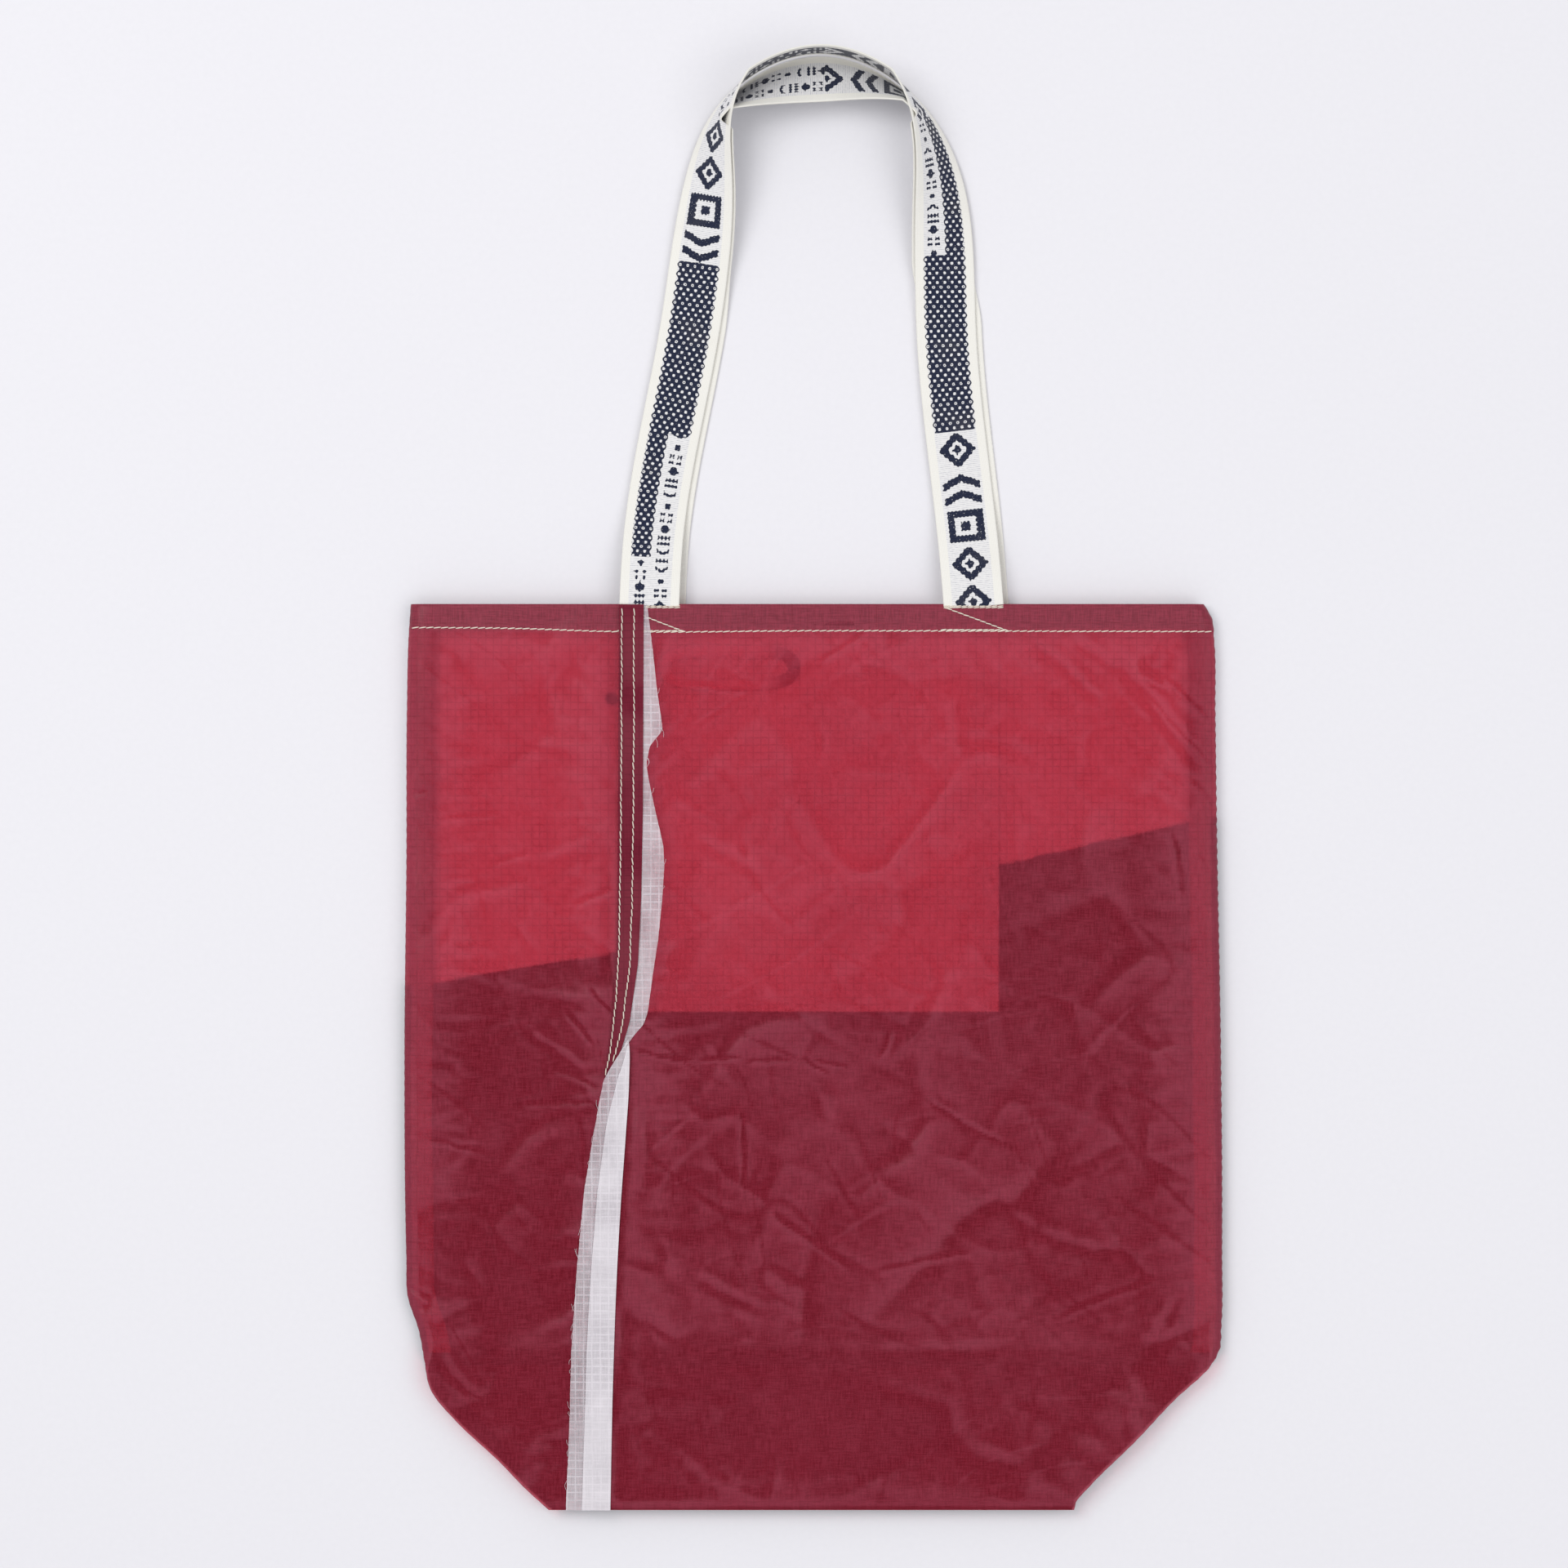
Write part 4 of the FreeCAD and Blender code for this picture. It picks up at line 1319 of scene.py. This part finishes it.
class Nodes:
    """A short way to write a node tree."""

    def __init__(self, name):
        self.material = bpy.data.materials.new(name)
        self.material.use_nodes = True
        self.tree = self.material.node_tree
        self.tree.nodes.clear()
        self.out = self.tree.nodes.new("ShaderNodeOutputMaterial")

    def add(self, kind, inputs=None, **settings):
        made = self.tree.nodes.new("ShaderNode" + kind)
        for key, value in settings.items():
            setattr(made, key, value)
        for key, value in (inputs or {}).items():
            socket = made.inputs[key]
            if isinstance(value, bpy.types.NodeSocket):
                self.tree.links.new(value, socket)
            else:
                socket.default_value = value
        return made

    def math(self, operation, a, b=0.0, c=None):
        inputs = {0: a, 1: b}
        if c is not None:
            inputs[2] = c
        return self.add("Math", inputs, operation=operation).outputs[0]

    def times(self, a, b):
        return self.math("MULTIPLY", a, b)

    def plus(self, a, b):
        return self.math("ADD", a, b)

    def minus(self, a, b):
        return self.math("SUBTRACT", a, b)

    def span(self, value, low, high, to_low=0.0, to_high=1.0):
        inputs = {"Value": value, "From Min": low, "From Max": high, "To Min": to_low, "To Max": to_high}
        made = self.add("MapRange", inputs, interpolation_type="SMOOTHSTEP")
        return made.outputs["Result"]

    def mix(self, factor, a, b):
        made = self.tree.nodes.new("ShaderNodeMix")
        made.data_type = "RGBA"
        for index, value in ((0, factor), (6, a), (7, b)):
            if isinstance(value, bpy.types.NodeSocket):
                self.tree.links.new(value, made.inputs[index])
            else:
                made.inputs[index].default_value = value
        return made.outputs[2]

    def noise(self, vector, size, detail=3.0, roughness=0.55):
        inputs = {"Vector": vector, "Scale": 1 / size, "Detail": detail, "Roughness": roughness}
        return self.add("TexNoise", inputs).outputs["Fac"]

    def bump(self, height, strength, distance, under=None):
        inputs = {"Height": height, "Strength": strength, "Distance": distance}
        if under is not None:
            inputs["Normal"] = under
        return self.add("Bump", inputs).outputs["Normal"]

    def attribute(self, name):
        return self.add("Attribute", attribute_name=name).outputs["Fac"]

    def flat(self):
        return self.add("UVMap", uv_map="flat").outputs["UV"]

    def principled(self, colour, bump, finish):
        inputs = {"Base Color": colour, "Normal": bump, **finish}
        return self.add("BsdfPrincipled", inputs).outputs[0]

    def surface(self, socket):
        self.tree.links.new(socket, self.out.inputs["Surface"])
        return self.material


def rgb(red, green, blue):
    """A colour from its sRGB values, 0 to 255."""
    parts = [value / 255 for value in (red, green, blue)]
    return tuple(p / 12.92 if p < 0.04045 else ((p + 0.055) / 1.055) ** 2.4 for p in parts) + (1.0,)


def grid_lines(n, flat, pitch, width):
    """1 on the ripstop's thicker threads."""
    axes = n.add("SeparateXYZ", {"Vector": flat}).outputs
    masks = []
    for axis, step in ((axes["X"], pitch), (axes["Y"], pitch * 0.94)):
        away = n.math("PINGPONG", n.plus(axis, 1.0), step / 2)
        masks.append(n.span(away, width * 0.4, width, 1.0, 0.0))
    return n.math("MAXIMUM", masks[0], masks[1])


def threads(n, flat):
    """Fine irregular threads both ways, around 0.5."""
    runs = []
    for stretch in ((1.0, 0.07, 1.0), (0.07, 1.0, 1.0)):
        place = n.add("Mapping", {"Vector": flat, "Scale": stretch}).outputs[0]
        runs.append(n.noise(place, 0.55 * MM, 2.0))
    return n.times(n.plus(runs[0], runs[1]), 0.5)


def ripstop(
    name, deep, sheen_colour, glow, thin,
    pitch=GRID_PITCH, line_strength=0.16, gloss=0.22, bright_lines=False,
):
    """Thin nylon with painted shade and sheen: the lift attribute mixes a deep colour, in valleys and where
    it lies close, with a lighter sheen colour, on ridges and where it stands off.

    thin is how much of what is behind shows through, and glow tints it. The grid's thicker
    threads show less of it, by line_strength."""
    n = Nodes(name)
    flat = n.flat()
    wander = n.add("TexNoise", {"Vector": flat, "Scale": 1 / (30 * MM), "Detail": 1.0}).outputs["Color"]
    drift = n.add("VectorMath", {0: wander, 1: (1.2 * MM, 1.2 * MM, 0)}, operation="MULTIPLY").outputs[0]
    bent = n.add("VectorMath", {0: flat, 1: drift}, operation="ADD").outputs[0]
    lines = grid_lines(n, bent, pitch, 0.46 * MM)
    weave = threads(n, flat)
    # random blotches in the painted sheen and shade
    sheen_blotches = n.noise(flat, 13 * MM, 4.0, 0.6)
    lift = n.attribute("lift")
    lift = n.plus(lift, n.times(n.minus(sheen_blotches, 0.5), 0.40))
    # painted shade and sheen: from the deep colour in valleys to the sheen colour on ridges
    sheen_shade_mix = n.span(lift, 0.12, 0.88)
    base = n.mix(sheen_shade_mix, deep, sheen_colour)
    twice = tuple(c * DOUBLED_TONE for c in sheen_colour[:3]) + (1.0,)
    base = n.mix(n.span(lift, 1.0, 2.0), base, twice)
    worn = n.span(n.noise(flat, 24 * MM, 2.0), 0.35, 0.65, 0.45, 1.0)
    lines = n.times(lines, worn)
    thick = tuple(min(1.0, c * 1.35) if bright_lines else c * 0.5 for c in deep[:3]) + (1.0,)
    base = n.mix(n.times(lines, 0.45 if bright_lines else 0.42), base, thick)
    light_thread = n.span(weave, 0.40, 0.60, 0.0, 0.30)
    base = n.mix(light_thread, base, tuple(min(1.0, c * 1.25) for c in sheen_colour[:3]) + (1.0,))
    height = n.plus(n.times(lines, 0.5), weave)
    bump = n.bump(height, 0.3, 0.08 * MM)
    bump = n.bump(n.noise(flat, 5 * MM, 4.0, 0.6), 0.4, 0.35 * MM, bump)
    level = n.math("MULTIPLY_ADD", sheen_shade_mix, gloss * 0.8, gloss * 0.3)
    finish = {"Roughness": 0.42, "Sheen Weight": 0.06, "Sheen Roughness": 0.4}
    finish["Specular IOR Level"] = level
    cloth = n.principled(base, bump, finish)
    if thin <= 0:
        return n.surface(cloth)
    share = n.times(n.span(sheen_shade_mix, 0.0, 1.0, 1.06, 0.92), thin)
    share = n.times(share, n.minus(1.0, n.times(lines, line_strength)))
    share = n.times(share, n.span(weave, 0.35, 0.65, 1.10, 0.90))
    share = n.times(share, n.span(lift, 1.0, 2.0, 1.0, DOUBLED))
    clear = n.add("BsdfTransparent", {"Color": glow}).outputs[0]
    # what is further behind the cloth is blurred, but lamps still shine through
    blurring = {"Color": glow, "Roughness": BLUR, "IOR": BLUR_IOR}
    soft = n.add("BsdfRefraction", blurring).outputs[0]
    shadow = n.add("LightPath").outputs["Is Shadow Ray"]
    clear = n.add("MixShader", {"Fac": shadow, 1: soft, 2: clear}).outputs[0]
    mixed = n.add("MixShader", {"Fac": share, 1: cloth, 2: clear}).outputs[0]
    return n.surface(mixed)


def tape_dots(n, across, along):
    """Staggered rows of light dots in the dotted blocks; every other row has dark hearts."""
    row = n.math("DIVIDE", along, DOT_ROW)
    odd = n.math("MODULO", n.math("FLOOR", row), 2.0)
    shift = n.times(odd, DOT_PITCH / 2)
    wobble = n.times(n.minus(n.noise(n.flat(), 2.0 * MM, 2.0), 0.5), 1.1 * MM)
    away_x = n.minus(n.math("MODULO", n.plus(across, shift), DOT_PITCH), DOT_PITCH / 2)
    away_x = n.math("ABSOLUTE", n.plus(away_x, wobble))
    away_y = n.math("ABSOLUTE", n.times(n.minus(n.math("FRACT", row), 0.5), DOT_ROW))
    power_x, power_y = n.math("POWER", away_x, 2.6), n.math("POWER", away_y, 2.6)
    away = n.math("POWER", n.plus(power_x, power_y), 1 / 2.6)
    dot = n.span(away, 0.60 * MM, 0.84 * MM, 1.0, 0.0)
    third = n.math("LESS_THAN", n.math("MODULO", n.math("FLOOR", n.math("DIVIDE", row, 2.0)), 2.0), 1.0)
    heart = n.span(away, 0.18 * MM, 0.36 * MM, 1.0, 0.0)
    heart = n.times(heart, n.times(third, n.minus(1.0, odd)))
    return n.minus(dot, heart)


def tape_material():
    n = Nodes("woven_tape")
    flat = n.flat()
    axes = n.add("SeparateXYZ", {"Vector": flat}).outputs
    across, along = axes["X"], axes["Y"]
    inside, dotted = n.attribute("weave"), n.attribute("dotted")
    # the figures' edges swell and draw in with the picks of the weave
    knots = n.math("SINE", n.times(along, 2 * math.pi / DOT_ROW))
    knots_across = n.math("SINE", n.times(across, 4 * math.pi / DOT_PITCH))
    swell = n.times(n.plus(knots, knots_across), 0.22)
    block_swell = n.times(n.math("SINE", n.times(along, math.pi / DOT_ROW)), 0.65)
    swell = n.plus(n.times(swell, n.minus(1.0, dotted)), n.times(block_swell, dotted))
    raised = n.span(n.plus(inside, swell), -0.10, 0.14)
    dots = n.times(tape_dots(n, across, along), dotted)
    speck = n.noise(flat, 0.75 * MM, 1.0)
    specks = n.times(n.span(speck, 0.66, 0.74), n.minus(0.55, n.times(dotted, 0.3)))
    raised = n.times(raised, n.minus(1.0, n.math("MAXIMUM", dots, specks)))
    rib = n.span(n.math("PINGPONG", along, 0.475 * MM), 0.03 * MM, 0.22 * MM)
    fine = n.span(n.math("PINGPONG", across, 0.3 * MM), 0.02 * MM, 0.2 * MM)
    edge = n.math("PINGPONG", across, 15 * MM)
    selvedge = n.span(edge, 4.2 * MM, 4.7 * MM, 1.0, 0.0)
    fuzz = n.noise(flat, 0.35 * MM, 2.0)
    cream = n.mix(n.times(fuzz, fine), rgb(238, 236, 228), rgb(250, 248, 242))
    patchy = n.noise(flat, 1.6 * MM, 1.0)
    # darker blue-grey between the ribs, in patches
    grey_between_ribs = n.times(n.minus(1.0, rib), n.span(patchy, 0.3, 0.7, 0.2, 1.0))
    grey = n.mix(grey_between_ribs, rgb(238, 237, 236), rgb(182, 182, 190))
    ground = n.mix(selvedge, grey, cream)
    strand = n.times(n.noise(flat, 0.5 * MM, 2.0), rib)
    navy = n.mix(strand, rgb(16, 22, 42), rgb(46, 54, 82))
    colour = n.mix(raised, ground, navy)
    soil = n.noise(flat, 25 * MM, 3.0)
    colour = n.mix(n.span(soil, 0.5, 0.8, 0.0, 0.06), colour, rgb(178, 168, 150))
    height = n.plus(n.times(rib, 0.4), n.times(fuzz, 0.4))
    height = n.plus(height, n.times(raised, 1.2))
    bump = n.bump(height, 0.7, 0.16 * MM)
    finish = {"Roughness": 0.82, "Sheen Weight": 0.2, "Specular IOR Level": 0.2}
    return n.surface(n.principled(colour, bump, finish))


def thread_material(name, low, high, size):
    n = Nodes(name)
    place = n.add("TexCoord").outputs["Object"]
    twist = n.noise(place, size, 2.0)
    colour = n.mix(twist, low, high)
    bump = n.bump(twist, 0.6, 0.1 * MM)
    return n.surface(n.principled(colour, bump, {"Roughness": 0.6, "Sheen Weight": 0.3}))


def strap_material():
    """A pale woven strap that is darker where it is doubled, at the end of the loop."""
    n = Nodes("woven_strap")
    flat = n.flat()
    lift = n.attribute("lift")
    axes = n.add("SeparateXYZ", {"Vector": flat}).outputs
    rib = n.span(n.math("PINGPONG", axes["Y"], 0.4 * MM), 0.05 * MM, 0.35 * MM)
    fuzz = n.noise(flat, 0.5 * MM, 2.0)
    pale = n.mix(n.times(rib, fuzz), rgb(206, 186, 190), rgb(226, 212, 215))
    dark = n.mix(n.times(rib, fuzz), rgb(140, 116, 124), rgb(164, 142, 148))
    bump = n.bump(rib, 0.5, 0.1 * MM)
    finish = {"Roughness": 0.7, "Sheen Weight": 0.2}
    return n.surface(n.principled(n.mix(lift, pale, dark), bump, finish))


RED_GLOW = (0.95, 0.27, 0.33, 1)
WHITE_GLOW = (0.95, 0.93, 0.96, 1)
RIB_LINES = {"pitch": RIB_PITCH, "line_strength": 0.35, "gloss": 0.2, "bright_lines": True}
# key: the material's name, its deep colour for painted shade and its sheen colour for painted sheen, glow,
# how thin it is, and the rest
CLOTHS = {
    "red": (
        "red_ripstop", (0.345, 0.018, 0.040, 1), (0.440, 0.054, 0.098, 1), RED_GLOW, 0.535, {},
    ),
    "red_dense": (
        "red_ripstop_doubled", (0.190, 0.022, 0.042, 1), (0.250, 0.036, 0.066, 1), RED_GLOW,
        0.12, {},
    ),
    "rib": (
        "white_rib_ripstop", (0.68, 0.64, 0.68, 1), (0.80, 0.76, 0.80, 1), WHITE_GLOW,
        0.47, RIB_LINES,
    ),
    "rib_doubled": (
        "white_rib_ripstop_doubled", (0.66, 0.62, 0.655, 1), (0.76, 0.72, 0.755, 1), WHITE_GLOW,
        0.12, RIB_LINES,
    ),
    "white_back": (
        "pale_ripstop", (0.62, 0.60, 0.61, 1), (0.71, 0.70, 0.71, 1), WHITE_GLOW,
        0.06, {"line_strength": 0.3},
    ),
    "pocket": (
        "pocket_ripstop", (0.70, 0.68, 0.69, 1), (0.78, 0.77, 0.77, 1), WHITE_GLOW,
        0.28, {"line_strength": 0.3},
    ),
    "dark": (
        "dark_ripstop", (0.030, 0.024, 0.034, 1), (0.050, 0.044, 0.056, 1), WHITE_GLOW, 0.0, {},
    ),
    "band": (
        "red_ripstop_band", (0.150, 0.012, 0.028, 1), (0.185, 0.020, 0.038, 1), RED_GLOW,
        0.0, {"gloss": 0.12},
    ),
}


# key: the material's name, its dark and light colour in sRGB, and the size of its grain
THREADS = {
    "fibre": ("pale_fibre", (205, 196, 202), (236, 230, 234), 0.4 * MM),
    "thread": ("cream_thread", (220, 205, 185), (246, 238, 224), 0.4 * MM),
    "button": ("dark_button", (56, 40, 48), (76, 58, 66), 2 * MM),
}


def make_materials():
    for key, (name, deep, sheen_colour, glow, thin, rest) in CLOTHS.items():
        MATERIALS[key] = ripstop(name, deep, sheen_colour, glow, thin, **rest)
    for key, (name, dark, light, size) in THREADS.items():
        MATERIALS[key] = thread_material(name, rgb(*dark), rgb(*light), size)
    MATERIALS["tape"] = tape_material()
    MATERIALS["strap"] = strap_material()


# ---- studio ----
FLOOR_HALF = 4.0
FLOOR_DROP = 0.3 * MM
WORLD_STRENGTH = 0.58
LAMPS = (                       # name, place, size in metres, power in watts
    ("key", (-1.3, 0.9, 2.5), 1.6, 33.0),
    ("fill", (1.6, -0.5, 2.5), 2.0, 20.0),
)


def make_studio():
    scene = bpy.context.scene
    scene.view_settings.view_transform = "Standard"
    floor_mesh = bpy.data.meshes.new("floor")
    half = FLOOR_HALF
    floor_mesh.from_pydata(
        [(-half, -half, 0), (half, -half, 0), (half, half, 0), (-half, half, 0)], [], [(0, 1, 2, 3)]
    )
    floor = bpy.data.objects.new("floor", floor_mesh)
    scene.collection.objects.link(floor)
    floor.location.z = -FLOOR_DROP
    n = Nodes("floor_paper")
    place = n.add("TexCoord").outputs["Object"]
    grain = n.noise(place, 3 * MM, 3.0)
    colour = n.mix(grain, rgb(236, 235, 239), rgb(240, 239, 243))
    floor_mesh.materials.append(n.surface(n.add("BsdfDiffuse", {"Color": colour}).outputs[0]))
    world = bpy.data.worlds.new("studio")
    world.use_nodes = True
    light_from = world.node_tree.nodes["Background"].inputs
    light_from["Color"].default_value = (0.97, 0.97, 1.0, 1.0)
    light_from["Strength"].default_value = WORLD_STRENGTH
    scene.world = world
    for name, place, size, power in LAMPS:
        light = bpy.data.lights.new(name, "AREA")
        light.size = size
        light.energy = power
        holder = bpy.data.objects.new(name, light)
        holder.location = place
        holder.rotation_euler = (-Vector(place)).to_track_quat("-Z", "Y").to_euler()
        scene.collection.objects.link(holder)


VIEW_WIDTH = 789 * MM
VIEW_CENTRE = (-14 * MM, -2 * MM)
CAMERA_HEIGHT = 2.6


def make_camera():
    camera = bpy.data.cameras.new("camera")
    camera.sensor_width = 36
    camera.lens = camera.sensor_width * CAMERA_HEIGHT / VIEW_WIDTH
    holder = bpy.data.objects.new("camera", camera)
    holder.location = (VIEW_CENTRE[0], VIEW_CENTRE[1], CAMERA_HEIGHT)
    bpy.context.scene.collection.objects.link(holder)
    bpy.context.scene.camera = holder


make_camera()
make_studio()
make_materials()
front_pieces = make_front()
make_back()
make_base()
make_tucks()
make_side_seams()
make_pocket()
make_loop()
make_button()
front_ground = ground_under(front_pieces)
make_fin(front_ground)
make_seam_stitches(front_ground)
make_hem_stitches(front_ground)
make_handle_stitches(front_ground)
make_handles()
make_back_stitches()
